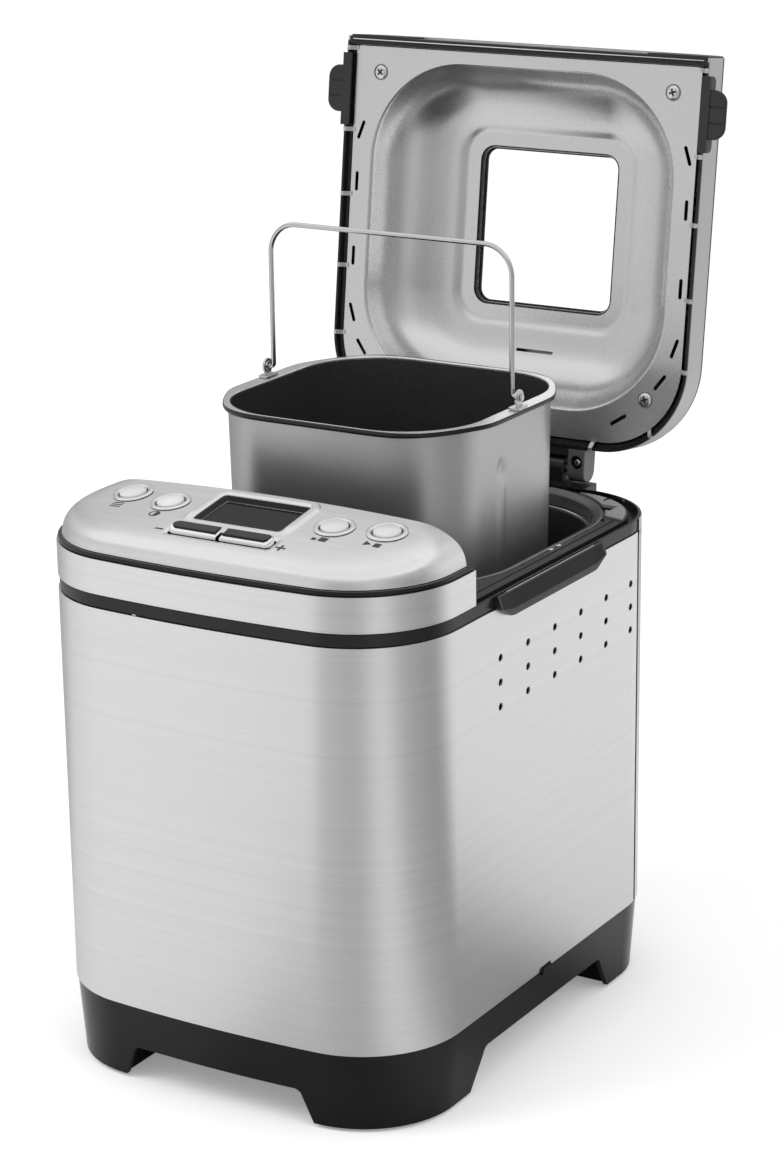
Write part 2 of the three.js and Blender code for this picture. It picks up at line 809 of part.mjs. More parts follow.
add('control_board', controlBoard(), board());

function lcdModule() {
  const top = panelTop(0, lcdFront) - lcdSink - 6;
  return block(1 - lcdHalfWidth, lcdHalfWidth - 1, lcdFront + 3, lcdRear - 2, boardTop + gap, top);
}

add('lcd_module', lcdModule(), satinBlack());

// The window is a shallow clear tray whose rim hangs on the cut edge of the panel.
function lcdWindow() {
  const halfX = lcdHalfWidth - gap;
  const halfY = lcdLength / 2 - gap;
  const rim = 1.6;
  const tray = flatBox(halfX, halfY, -lcdSink - 1.4, -0.2)
    .subtract(flatBox(halfX - rim, halfY - rim, -lcdSink, 1));
  const foot = flatBox(halfX + 1.5, halfY + 1.5, -lcdSink - 1.4, -sheet - gap - 0.6);
  return onPanel(tray.add(foot.subtract(flatBox(halfX - rim, halfY - rim, -lcdSink, 1))), 0, lcdMiddle);
}

add('lcd_window', lcdWindow(), glossBlack());

for (const [name, x, y] of buttons) {
  const ring = turned([
    [buttonRadius + gap, -5],
    [collarRadius, -5],
    [collarRadius, gap],
    [ringRadius, gap],
    [ringRadius - 0.5, gap + ringRise],
    [buttonRadius + gap, gap + ringRise],
    [buttonRadius + gap, -5],
  ], 24);
  add(`ring_${name}`, onPanel(ring, x, y), chrome());
}

const stemRadius = 2.5;
const switchGap = buttonTravel + gap;

for (const [name, x, y] of buttons) {
  const stemLength = (panelTop(x, y) - boardTop) / Math.cos(panelTilt) - switchGap - 1;
  const cap = turned([
    [0, -3.5],
    [buttonRadius, -3.5],
    [buttonRadius, buttonRise - 1],
    [buttonRadius - 1.4, buttonRise - 0.2],
    [buttonRadius - 4, buttonRise + 0.4],
    [0, buttonRise + 0.7],
  ], 20);
  const stem = rod(0, 0, -stemLength, -3, stemRadius, 12);
  add(`button_${name}`, onPanel(cap.add(stem), x, y), whiteCap());
}

function barKey() {
  const halfY = keyDepth / 2 - gap;
  const profile = [
    new THREE.Vector2(-halfY, -3),
    new THREE.Vector2(halfY, -3),
    new THREE.Vector2(halfY, keyRise - 0.6),
    new THREE.Vector2(halfY - 1.5, keyRise),
    new THREE.Vector2(2 - halfY, keyRise),
    new THREE.Vector2(-halfY, 0.6),
  ];
  const stemLength = (panelTop(0, keyMiddle) - boardTop) / Math.cos(panelTilt) - switchGap - 1;
  const stem = rod(keyHalfGap + keyLength / 2, 0, -stemLength, -2.5, stemRadius, 12);
  return onPanel(beam(profile, keyHalfGap, keyHalfGap + keyLength).add(stem), 0, keyMiddle);
}

add('key_plus', barKey(), chrome());
add('key_minus', left(barKey()), chrome());

// ---------------------------------------------------------------- baking chamber and drive

const chamberOutline = (inset) => wellOutline(-chamberInset - inset);
const socketRadius = panRingRadius + 1.2;
const bearingRadius = 14;
const bearingFlange = 20;
const heaterHeight = chamberFloor + 14;
const heaterRadius = 3.2;
const heaterTerminalX = 12;
const heaterMargin = 12;
const heaterReach = 12;
const heaterCorner = 46;
const chamberHalfWidth = wellHalfWidth - chamberInset - chamberSheet;
const chamberHalfLength = wellHalfLength - chamberInset - chamberSheet;
const sensorZ = chamberFloor + 62;
const sensorRadius = 4;
const sensorX = 27;
const chamberFrontY = panCentre - wellHalfLength + chamberInset;

function bakingChamber() {
  const shell = slab(chamberOutline(0), chamberFloor, chamberTop)
    .subtract(slab(chamberOutline(chamberSheet), chamberFloor + chamberSheet, far * 2));
  const flange = wall((inset) => chamberOutline(-inset), chamberFlange, -chamberSheet / 2,
    chamberTop - chamberSheet, chamberTop);
  let chamber = shell.add(flange).subtract(rod(0, panCentre, 0, chamberFloor + 5, bearingRadius + gap));
  for (const side of [-1, 1]) {
    const hole = crossRod('y', chamberFrontY - 6, chamberFrontY + 6, side * heaterTerminalX, heaterHeight,
      heaterRadius + gap, 12);
    chamber = chamber.subtract(hole);
  }
  return chamber.subtract(crossRod('y', chamberFrontY - 6, chamberFrontY + 6, sensorX, sensorZ,
    sensorRadius + gap, 12));
}

add('baking_chamber', bakingChamber(), galvanised());

// Rounds the corners of a path; each corner has its own radius.
function rounded(corners, radii, steps) {
  const path = [corners[0]];
  for (let i = 1; i < corners.length - 1; i += 1) {
    const into = corners[i].clone().sub(corners[i - 1]).normalize();
    const away = corners[i + 1].clone().sub(corners[i]).normalize();
    const turn = into.angleTo(away);
    const cut = radii[i - 1] * Math.tan(turn / 2);
    const middle = corners[i].clone()
      .add(away.clone().sub(into).normalize().multiplyScalar(radii[i - 1] / Math.cos(turn / 2)));
    const start = corners[i].clone().addScaledVector(into, -cut).sub(middle);
    const axis = into.clone().cross(away).normalize();
    for (let k = 0; k <= steps; k += 1) {
      path.push(start.clone().applyAxisAngle(axis, (turn * k) / steps).add(middle));
    }
  }
  path.push(corners[corners.length - 1]);
  return path;
}

// A round bar bent along a flat path; normal is the direction square to that path's plane.
function bentBar(path, normal, radius, sides = 8) {
  const position = [];
  const index = [];
  path.forEach((point, i) => {
    const before = point.clone().sub(path[Math.max(i - 1, 0)]).normalize();
    const after = path[Math.min(i + 1, path.length - 1)].clone().sub(point).normalize();
    const along = before.clone().add(after).normalize();
    const side = normal.clone().cross(along);
    const mitre = 1 / Math.max(along.dot(before), along.dot(after));
    for (let k = 0; k < sides; k += 1) {
      const angle = (2 * Math.PI * k) / sides;
      const vertex = point.clone()
        .addScaledVector(normal, radius * Math.cos(angle))
        .addScaledVector(side, radius * Math.sin(angle) * mitre);
      position.push(vertex.x, vertex.y, vertex.z);
    }
  });
  for (let i = 0; i < path.length - 1; i += 1) {
    for (let k = 0; k < sides; k += 1) {
      const next = (k + 1) % sides;
      const here = i * sides;
      const there = here + sides;
      index.push(here + k, here + next, there + next, here + k, there + next, there + k);
    }
  }
  const last = (path.length - 1) * sides;
  for (let k = 1; k < sides - 1; k += 1) {
    index.push(0, k + 1, k, last, last + k, last + k + 1);
  }
  const geometry = new THREE.BufferGeometry();
  geometry.setAttribute('position', new THREE.Float32BufferAttribute(position, 3));
  geometry.setIndex(index);
  return solid(geometry);
}

function heaterElement() {
  const halfX = chamberHalfWidth - heaterMargin;
  const halfY = chamberHalfLength - heaterMargin;
  const corner = heaterCorner;
  const rear = panCentre + halfY;
  const front = panCentre - halfY;
  const outside = chamberFrontY - heaterReach;
  const at = (x, y) => new THREE.Vector3(x, y, heaterHeight);
  const path = rounded([
    at(heaterTerminalX, outside),
    at(heaterTerminalX, front),
    at(halfX, front),
    at(halfX, rear),
    at(-halfX, rear),
    at(-halfX, front),
    at(-heaterTerminalX, front),
    at(-heaterTerminalX, outside),
  ], [6, corner, corner, corner, corner, 6], 6);
  return bentBar(path, new THREE.Vector3(0, 0, 1), heaterRadius);
}

add('heater_element', heaterElement(), galvanised());

function temperatureSensor() {
  return crossRod('y', chamberFrontY - 10, chamberFrontY + 9, sensorX, sensorZ, sensorRadius, 12)
    .add(crossRod('y', chamberFrontY + chamberSheet + gap, chamberFrontY + 3.5, sensorX, sensorZ,
      sensorRadius + 3, 12));
}

add('temperature_sensor', temperatureSensor(), bronze());

const socketFloor = chamberFloor + chamberSheet + gap;

function panSocket() {
  const flange = socketRadius + socketFlange;
  const ring = [
    [socketRadius, socketFloor],
    [flange, socketFloor],
    [flange, socketFloor + 1.5],
    [socketRadius + socketWall, socketFloor + 1.5],
    [socketRadius + socketWall, socketFloor + socketHeight],
    [socketRadius, socketFloor + socketHeight],
    [socketRadius, socketFloor],
  ];
  return turned(ring, 36).translate([0, panCentre, 0]);
}

add('pan_socket', panSocket(), pressedAluminium());

const bearingTop = socketFloor + 2;
const pulleyTop = beltHeight + beltWidth + 1;
const pulleyBottom = beltHeight - 1;
const hubTop = pulleyTop + 6;

function shaftBearing() {
  const bore = shaftRadius + gap;
  return turned([
    [bore, hubTop + gap],
    [bearingRadius - 4, hubTop + gap],
    [bearingRadius - 4, chamberFloor - 5],
    [bearingFlange, chamberFloor - 5],
    [bearingFlange, chamberFloor - gap],
    [bearingRadius, chamberFloor - gap],
    [bearingRadius, bearingTop],
    [bore, bearingTop],
    [bore, hubTop + gap],
  ]).translate([0, panCentre, 0]);
}

add('shaft_bearing', shaftBearing(), bronze());

const dogZ = bearingTop + gap;
const dogHeight = 10;
const dogReach = 14;
const dogWidth = 8;
const dogHub = 6.4;
const lugDrop = 8;

function driveShaft() {
  const shaft = rod(0, panCentre, pulleyBottom - 4, dogZ + 1, shaftRadius, 20);
  const hub = rod(0, panCentre, dogZ, dogZ + dogHeight, dogHub, 20);
  const wings = block(-dogReach, dogReach, panCentre - dogWidth / 2, panCentre + dogWidth / 2,
    dogZ, dogZ + dogHeight);
  return union(shaft, hub, wings);
}

add('drive_shaft', driveShaft(), galvanised());

function pulley(radius, bore, hubRadius, hubEnd) {
  const groove = radius - beltThickness / 2;
  return turned([
    [bore, pulleyBottom],
    [radius + 1.5, pulleyBottom],
    [radius + 1.5, beltHeight - gap],
    [groove, beltHeight - gap],
    [groove, beltHeight + beltWidth + gap],
    [radius + 1.5, beltHeight + beltWidth + gap],
    [radius + 1.5, pulleyTop],
    [hubRadius, pulleyTop],
    [hubRadius, hubEnd],
    [bore, hubEnd],
    [bore, pulleyBottom],
  ], 36);
}

add('drive_pulley', pulley(drivePulleyRadius, shaftRadius + gap, drivePulleyHub, hubTop).translate([0, panCentre, 0]),
  satinBlack());

// The belt runs in both grooves, with a running gap under it.
function driveBelt() {
  const inner = (grow) => {
    const big = drivePulleyRadius - beltThickness / 2 + grow;
    const small = motorPulleyRadius - beltThickness / 2 + grow;
    const lean = THREE.MathUtils.radToDeg(Math.asin((big - small) / (panCentre - motorY)));
    return [
      ...polar(0, motorY, small, 180 + lean, 360 - lean, 10),
      ...polar(0, panCentre, big, -lean, 180 + lean, 26),
    ];
  };
  return slab(inner(gap + beltThickness), beltHeight, beltHeight + beltWidth)
    .subtract(slab(inner(gap), 0, far));
}

add('drive_belt', driveBelt(), rubber());

const motorBase = motorPlateZ + plateThickness + gap;
const motorShaftRadius = 3;

function motorPulley() {
  const shaftEnd = motorBase + motorHeight - 8;
  return pulley(motorPulleyRadius, 0, motorPulleyHub, pulleyTop + 2)
    .add(rod(0, 0, pulleyBottom, shaftEnd, motorShaftRadius, 16))
    .translate([0, motorY, 0]);
}

add('motor_pulley', motorPulley(), galvanised());

function motor() {
  const half = motorRadius;
  const can = slab(roundedBox(half, -half, half, 8, 8, 3), motorBase + 10, motorBase + motorHeight - 10);
  const ends = rod(0, 0, motorBase, motorBase + motorHeight, half - 6, 28);
  return can.add(ends)
    .subtract(rod(0, 0, 0, motorBase + motorHeight - 7, motorShaftRadius + gap, 16))
    .translate([0, motorY, 0]);
}

add('motor', motor(), copperStack());

// The power board stands on the chassis plate beside the motor, with a heat sink, relay and capacitor.
const powerBoardThickness = 1.6;
const powerBoardLength = 52;
const powerBoardHeight = 90;
const powerBoardX = motorRadius + motorLegX;
const sinkReach = 16;
const sinkLength = 18;
const sinkHeight = 28;
const relayReach = 10;
const relayLength = 12;
const relayHeight = 16;
const capacitorRadius = 9.2;
const capacitorHeight = 22;

function powerBoard() {
  const x = powerBoardX;
  const inside = x + powerBoardThickness / 2;
  const from = motorY - powerBoardLength / 2;
  const to = motorY + powerBoardLength / 2;
  const foot = plateTop + gap;
  const middle = foot + powerBoardHeight / 2;
  return union(
    block(x, x + powerBoardThickness, from, to, foot, foot + powerBoardHeight),
    block(x - sinkReach, inside, from + 4, from + 4 + sinkLength, middle, middle + sinkHeight),
    block(x - relayReach, inside, to - 4 - relayLength, to - 4, middle - 8 - relayHeight, middle - 8),
    rod(x - capacitorRadius + 0.4, to - 5 - capacitorRadius, middle, middle + capacitorHeight, capacitorRadius, 14),
  );
}

add('power_board', powerBoard(), board());

// ---------------------------------------------------------------- hinge

const towerHalf = 44;
const pinRadius = 3;
const knuckleRadius = 7.4;
const armInner = towerHalf + 2.6;
const armOuter = armInner + 11.2;

function hingeTower() {
  const outline = [
    new THREE.Vector2(bodyRear + gap, bandZ - 24),
    new THREE.Vector2(hingeY, bandZ - 24),
    new THREE.Vector2(hingeY + knuckleRadius, hingeZ - 8),
    ...polar(hingeY, hingeZ, knuckleRadius, 0, 180, 8),
    new THREE.Vector2(hingeY - knuckleRadius, deckZ + gap),
    new THREE.Vector2(bodyRear + gap, deckZ - gap),
  ];
  return beam(outline, -towerHalf, towerHalf)
    .subtract(crossRod('x', -far, far, hingeY, hingeZ, pinRadius + gap));
}

add('hinge_tower', hingeTower(), satinBlack());
add('hinge_pin', crossRod('x', -armOuter + 2, armOuter - 2, hingeY, hingeZ, pinRadius), galvanised());

function hingeArm() {
  const outline = [
    new THREE.Vector2(bodyRear + gap, hingeZ - knuckleRadius + 0.6),
    ...polar(hingeY, hingeZ, knuckleRadius, -90, 90, 8),
    new THREE.Vector2(bodyRear + gap, hingeZ + knuckleRadius),
  ];
  return beam(outline, armInner, armOuter)
    .subtract(crossRod('x', armInner - 1, armOuter - 1.4, hingeY, hingeZ, pinRadius + gap));
}

add('hinge_arm_right', hingeArm(), satinBlack(), lidGroup);
add('hinge_arm_left', left(hingeArm()), satinBlack(), lidGroup);

// ---------------------------------------------------------------- lid

const lidInner = frameInset + lidFrameWall;
const lipInset = 3.6;
const frontWall = 2.6;

add('lid_band', wall(lidOutline, 0, sheet, lidBottomZ, shoulderZ)
  .subtract(block(sheet - halfWidth, halfWidth - sheet, lidFront - 5, lidFront + 30, 0, far * 2)),
brushedSteel(), lidGroup);

const bossZ = linerZ + linerSheet + gap;
const bossTop = shoulderZ - 4;

function lidFrame() {
  const inner = (inset) => lidOutline(inset, lidFront + frontWall);
  const sides = slab(lidOutline(frameInset), lidBottomZ, coverZ);
  const lip = slab(lidOutline(lipInset), linerZ - lidLipDrop, lidBottomZ + 1);
  const line = slab(lidOutline(lineInset), shoulderZ + gap, coverZ);
  const plate = dome((inset) => lidOutline(inset + gap), lidShoulder, lidStations, lidRidge, sheet, sheet + gap)
    .intersect(block(-far, far, -far, lidFront + frontWall, coverZ - 1, far * 2));
  let frame = union(sides, lip, line)
    .subtract(slab(inner(lidInner), 0, far * 2))
    .add(plate);
  for (const [, x, y] of screwPlaces) {
    const outward = Math.sign(x);
    const wallX = outward * (halfWidth - lidInner + 1.5);
    const reach = y > 0 ? x + outward * 19 : wallX;
    const web = block(Math.min(x, reach), Math.max(x, reach), y - 2, y + 2, bossZ, bossTop);
    frame = union(frame, rod(x, y, bossZ, bossTop, screwRadius + 1.5, 16), web);
  }
  for (const [, x, y] of screwPlaces) frame = frame.subtract(rod(x, y, 0, bossTop - 3, 2 + gap, 12));
  return frame;
}

add('lid_frame', lidFrame(), satinBlack(), lidGroup);

const ledgeZ = linerZ + ledgeHeight;
const glassZ = ledgeZ + linerSheet + gap;
const glassHalf = windowHalf + windowLedge - 2;
const windowSquare = (half, radius) => roundedBox(
  half, windowCentre - half - 1, windowCentre + half + 1, radius);

function lidCover() {
  const outer = dome(lidOutline, lidShoulder, lidStations, lidRidge, 0, 0);
  const inner = dome((inset) => lidOutline(inset, lidFront - 1), lidShoulder,
    [lidFront - 1, ...lidStations.slice(1)], lidRidge, sheet, sheet);
  return outer.subtract(inner)
    .subtract(block(-far, far, -far, far, 0, coverZ + gap))
    .subtract(slab(windowSquare(glassHalf + gap, windowRadius + 6), 0, far * 2));
}

add('lid_cover', lidCover(), brushedSteel(), lidGroup);
add('window_glass', slab(windowSquare(glassHalf, windowRadius + 6), glassZ, glassZ + glassThickness),
  glass(), lidGroup);

// The liner is one pressed sheet: a flat flange, a deep dome and a ledge round the window.
const lerp = THREE.MathUtils.lerp;

function linerSection(depth) {
  // Each step: share of the way from the dome's edge to the ledge, and height above the flange.
  return [[0, 0], [0.03, 3], [0.1, 15], [0.22, 27], [0.42, 36], [0.7, 42], [0.93, ledgeHeight - 4],
    [0.97, ledgeHeight - 1], [1, ledgeHeight]].map(([t, rise]) => ({
    outline: roundedBox(
      lerp(domeHalfWidth, windowHalf + windowLedge, t),
      lerp(domeFront, windowCentre - windowHalf - 1 - windowLedge, t),
      lerp(domeRear, windowCentre + windowHalf + 1 + windowLedge, t),
      lerp(domeRadius, windowRadius + 8, t),
    ),
    z: linerZ + rise - depth,
  }));
}

function lidLiner() {
  const flangeOutline = roundedBox(halfWidth - lidInner - gap, lidFront + frontWall + gap,
    bodyRear - lidInner - gap, 4, rearCornerRadius - lidInner - gap);
  const opening = windowSquare(windowHalf, windowRadius);
  const under = linerSection(0);
  const over = linerSection(-linerSheet).reverse();
  const liner = loft([
    { outline: flangeOutline, z: linerZ },
    ...under,
    { outline: opening, z: ledgeZ },
    { outline: opening, z: ledgeZ + linerSheet },
    ...over,
    { outline: flangeOutline, z: linerZ + linerSheet },
  ], true);
  return screwPlaces.reduce((sheetSoFar, [, x, y]) => (
    sheetSoFar.subtract(rod(x, y, linerZ - 1, linerZ + 2, 2 + gap, 12))), liner);
}

add('lid_liner', lidLiner(), pressedAluminium(), lidGroup);

for (const [place, x, y] of screwPlaces) {
  const screw = turned([
    [0, linerZ - gap - 2],
    [screwRadius - 1.6, linerZ - gap - 1.8],
    [screwRadius, linerZ - gap],
    [2, linerZ - gap],
    [2, bossTop - 6],
    [0, bossTop - 6],
  ], 16).translate([x, y, 0]);
  const recess = union(
    block(x - 2.2, x + 2.2, y - 0.5, y + 0.5, linerZ - gap - 4, linerZ - gap - 0.8),
    block(x - 0.5, x + 0.5, y - 2.2, y + 2.2, linerZ - gap - 4, linerZ - gap - 0.8),
  );
  add(`liner_screw_${place}`, screw.subtract(recess), chrome(), lidGroup);
}

const gripMiddle = lidFront + gripFromFront;

function lidGrip() {
  const sideX = halfWidth + gap;
  const plate = block(sideX, sideX + 1.8, gripMiddle - gripPlateHalf, gripMiddle + gripPlateHalf,
    lidBottomZ, lidBottomZ + gripPlateHeight);
  const knob = new THREE.Shape();
  knob.moveTo(sideX, gripMiddle - gripHalf);
  knob.lineTo(sideX + gripReach - 6, gripMiddle - gripHalf);
  knob.quadraticCurveTo(sideX + gripReach, gripMiddle - gripHalf, sideX + gripReach, gripMiddle - gripHalf + 6);
  knob.lineTo(sideX + gripReach, gripMiddle + gripHalf - 6);
  knob.quadraticCurveTo(sideX + gripReach, gripMiddle + gripHalf, sideX + gripReach - 6, gripMiddle + gripHalf);
  knob.lineTo(sideX, gripMiddle + gripHalf);
  return plate.add(slab(knob.getPoints(5), lidBottomZ, lidBottomZ + gripHeight));
}

add('grip_right', lidGrip(), satinBlack(), lidGroup);
add('grip_left', left(lidGrip()), satinBlack(), lidGroup);

// ---------------------------------------------------------------- baking pan

const panOutline = (grow, growLength = grow) => roundedBox(
  panHalfWidth + grow,
  panCentre - panHalfLength - growLength,
  panCentre + panHalfLength + growLength,
  panRadius + Math.min(grow, growLength),
);
const paddleBore = shaftRadius + gap;

function panBody() {
  const z = panFloorZ;
  const vessel = loft([
    { outline: panOutline(-panTaper - 9), z },
    { outline: panOutline(-panTaper - 2.6), z: z + 2.6 },
    { outline: panOutline(-panTaper), z: z + 9 },
    { outline: panOutline(0), z: rimZ - panWall },
    { outline: panOutline(panFlangeSide, panFlangeFront), z: rimZ - panWall },
    { outline: panOutline(panFlangeSide, panFlangeFront), z: rimZ },
    { outline: panOutline(-panWall), z: rimZ },
    { outline: panOutline(-panTaper - panWall), z: z + 9 },
    { outline: panOutline(-panTaper - panWall - 2), z: z + 2.6 + panWall },
    { outline: panOutline(-panTaper - panWall - 8), z: z + panWall },
  ]);
  const ring = turned([
    [panRingRadius - 2.5, z - panRingHeight],
    [panRingRadius, z - panRingHeight],
    [panRingRadius, z + 0.5],
    [panRingRadius - 2.5, z + 0.5],
    [panRingRadius - 2.5, z - panRingHeight],
  ], 36).translate([0, panCentre, 0]);
  const boss = rod(0, panCentre, z - 7, z + 6, 10, 20);
  return union(vessel, ring, boss).subtract(rod(0, panCentre, 0, z + 20, paddleBore, 20));
}

add('pan_body', panBody(), panGrey(), panGroup);

const earX = panHalfWidth + 4.1;
const bailHalfWidth = panHalfWidth - 0.2;
const earHalf = 6;

function panEar() {
  const base = block(earX - 3.9, earX + 2.9, panCentre - earHalf, panCentre + earHalf, rimZ + gap, rimZ + gap + 1.2);
  const tab = block(earX - 0.7, earX + 0.7, panCentre - 4.5, panCentre + 4.5, rimZ + 1, pivotZ + 4.5);
  return base.add(tab).subtract(crossRod('x', earX - 5, earX + 5, panCentre, pivotZ, bailWire + gap, 12));
}

add('pan_ear_right', panEar(), chrome(), panGroup);
add('pan_ear_left', left(panEar()), chrome(), panGroup);

function bail() {
  const top = pivotZ + bailHeight;
  const at = (x, z) => new THREE.Vector3(x, panCentre, z);
  const end = earX + 2.6;
  const path = rounded([
    at(end, pivotZ),
    at(bailHalfWidth, pivotZ),
    at(bailHalfWidth, top),
    at(-bailHalfWidth, top),
    at(-bailHalfWidth, pivotZ),
    at(-end, pivotZ),
  ], [1.9, bailCorner, bailCorner, 1.9], 6);
  return bentBar(path, new THREE.Vector3(0, 1, 0), bailWire);
}

add('bail', bail(), chrome(), panGroup);

const couplingTop = panFloorZ - 7 - gap;
const lugBottom = dogZ + dogHeight - lugDrop;
const paddleZ = panFloorZ + 6 + gap;
const lugMiddle = dogHub + 4.2;

function paddleShaft() {
  const web = dogZ + dogHeight + 1;
  const disc = rod(0, panCentre, web, couplingTop, 15, 28);
  const shaft = rod(0, panCentre, web, paddleZ + paddleHubHeight - paddleHubCap, shaftRadius, 20);
  const lugs = [-1, 1].map((side) => (
    block(-5, 5, panCentre + side * lugMiddle - 3.5, panCentre + side * lugMiddle + 3.5, lugBottom, web + 1)));
  return union(disc, shaft, ...lugs);
}

add('paddle_shaft', paddleShaft(), galvanised(), panGroup);

function paddle() {
  const hub = rod(0, panCentre, paddleZ, paddleZ + paddleHubHeight, paddleHubRadius, 20);
  const top = paddleZ + paddleHubHeight - 1;
  const tip = paddleReach - paddleTipSlope;
  const bladeOutline = new THREE.Shape();
  bladeOutline.moveTo(0, paddleZ);
  bladeOutline.lineTo(paddleReach, paddleZ);
  bladeOutline.quadraticCurveTo(paddleReach + 2, top + 3, tip, top + paddleCrest);
  bladeOutline.quadraticCurveTo(tip / 2, top + paddleCrest + 4, 0, top);
  const half = paddleThickness / 2;
  const blade = rail(bladeOutline.getPoints(5), panCentre - half, panCentre + half);
  const bore = rod(0, panCentre, 0, paddleZ + paddleHubHeight - paddleHubCap + gap, paddleBore, 20);
  return hub.add(blade).subtract(bore);
}

add('kneading_paddle', paddle(), panGrey(), panGroup);

// ---------------------------------------------------------------- assembly

const lidPivot = new THREE.Group();
lidPivot.position.set(0, hingeY, hingeZ);
lidPivot.rotation.x = -THREE.MathUtils.degToRad(lidOpenAngle);
lidGroup.position.set(0, -hingeY, -hingeZ);
lidPivot.add(lidGroup);
panGroup.position.z = panLift;
machine.add(lidPivot, panGroup);

// The origin lies on the standing surface, below the middle of the machine as it stands open.
machine.updateMatrixWorld(true);
const reach = new THREE.Box3().setFromObject(machine, true);
machine.position.y = -(reach.min.y + reach.max.y) / 2;
machine.updateMatrixWorld(true);

export default machine;
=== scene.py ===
# %% [markdown]
# # A bread machine with its lid open
#
# The machine has a brushed steel wrap on a black base, a sloping panel with four buttons, a lid
# held upright by its hinge, and a baking pan lifted part of the way out by its bail. The packed
# solids give every place and size. This lesson dresses them: each part you see is built again with
# finer meshes and a finish of its own, in the same frame, and rides on the body that moves it.

# %% Load the frame
import json
import math

import bmesh
import bpy
import numpy as np
from mathutils import Matrix, Vector
from mathutils.geometry import delaunay_2d_cdt


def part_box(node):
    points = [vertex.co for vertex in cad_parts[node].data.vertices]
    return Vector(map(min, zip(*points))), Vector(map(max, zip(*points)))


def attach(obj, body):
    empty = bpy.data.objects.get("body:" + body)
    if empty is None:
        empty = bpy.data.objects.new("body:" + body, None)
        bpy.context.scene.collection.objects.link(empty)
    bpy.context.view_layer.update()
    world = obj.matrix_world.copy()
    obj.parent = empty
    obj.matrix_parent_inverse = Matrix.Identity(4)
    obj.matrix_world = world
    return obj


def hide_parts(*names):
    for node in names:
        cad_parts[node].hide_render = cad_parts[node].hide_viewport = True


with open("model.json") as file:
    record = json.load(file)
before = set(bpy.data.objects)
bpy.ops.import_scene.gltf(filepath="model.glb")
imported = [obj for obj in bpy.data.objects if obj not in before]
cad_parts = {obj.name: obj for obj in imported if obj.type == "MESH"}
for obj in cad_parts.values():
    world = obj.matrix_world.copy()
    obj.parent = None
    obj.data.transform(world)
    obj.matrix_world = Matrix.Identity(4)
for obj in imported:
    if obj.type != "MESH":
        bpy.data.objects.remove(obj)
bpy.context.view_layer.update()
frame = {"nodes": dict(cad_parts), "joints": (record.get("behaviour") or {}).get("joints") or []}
nodes = frame["nodes"]
joints = {joint["name"]: joint for joint in frame["joints"]}
print("loaded", len(nodes), "nodes")

# %% [markdown]
# ## The camera
#
# A camera can be aimed with a Track To constraint, or placed by angles. Angles are used here,
# because a small roll about the view axis has to stay in. The lens is long, about 96 mm, as in a
# product picture, so the upright edges of the machine stay nearly parallel.

# %% Camera
camera_data = bpy.data.cameras.new("camera")
camera = bpy.data.objects.new("camera", camera_data)
bpy.context.scene.collection.objects.link(camera)
bpy.context.scene.camera = camera
camera_data.lens = 96.17
camera_data.sensor_width = 36
camera_data.shift_x = -0.0004
camera_data.shift_y = 0.0401
camera_data.clip_end = 30
view_turn = math.radians(31.292)
view_rise = math.radians(17.936)
view_roll = math.radians(-0.765)
camera.matrix_world = (
    Matrix.Translation((0.8854, -1.4616, 0.7682))
    @ Matrix.Rotation(view_turn, 4, "Z")
    @ Matrix.Rotation(math.pi / 2 - view_rise, 4, "X")
    @ Matrix.Rotation(view_roll, 4, "Z")
)
bpy.context.scene.view_settings.view_transform = "Standard"
print("camera", [round(value, 3) for value in camera.location])

# %% [markdown]
# ## Node helpers
#
# Every finish below is a small node tree. Writing each link by hand takes many lines, so one helper
# makes a node and sets its inputs by name. An input given as a socket is linked, and any other
# value is written on the input itself.

# %% Node helpers
def node(tree, kind, inputs=None, **settings):
    made = tree.nodes.new(kind)
    for name, value in settings.items():
        setattr(made, name, value)
    for name, value in (inputs or {}).items():
        socket = made.inputs[name]
        if isinstance(value, bpy.types.NodeSocket):
            tree.links.new(value, socket)
        else:
            socket.default_value = value
    return made


def ramp(tree, factor, stops, interpolation="LINEAR"):
    made = node(tree, "ShaderNodeValToRGB", {"Fac": factor})
    band = made.color_ramp
    band.interpolation = interpolation
    while len(band.elements) < len(stops):
        band.elements.new(0.5)
    for element, (place, shade) in zip(band.elements, stops):
        element.position = place
        element.color = (shade, shade, shade, 1) if np.isscalar(shade) else (*shade, 1)
    return made.outputs["Color"]


def maths(tree, operation, first, second=0.0, third=0.0):
    made = node(tree, "ShaderNodeMath", {0: first, 1: second, 2: third}, operation=operation)
    return made.outputs[0]


def mix(tree, factor, first, second):
    made = node(tree, "ShaderNodeMix", {0: factor, 6: first, 7: second}, data_type="RGBA")
    return made.outputs[2]


def linked(data, name):
    """A new object in the scene."""
    obj = bpy.data.objects.new(name, data)
    bpy.context.scene.collection.objects.link(obj)
    return obj


def new_material(name):
    material = bpy.data.materials.new(name)
    material.use_nodes = True
    material.node_tree.nodes.clear()
    return material, material.node_tree


# %% [markdown]
# ## The studio
#
# Steel has hardly any colour of its own: it shows the room. Plain white all round would make it
# look like paper, so mirror rays see a room with soft bright and dim stretches. A ring of shades
# by direction gives the upright faces their bands, and brightness by height gives the pressed
# covers a light from above. Camera rays see plain white. The floor is a pale card with the
# same shades for mirror rays, so the shadow near the base also shows in the steel.

# %% World and floor
white = (1, 1, 1, 1)
ray_grey = (0.82, 0.82, 0.82, 1)
card_grey = (0.93, 0.93, 0.93, 1)
card_lift = 0.24
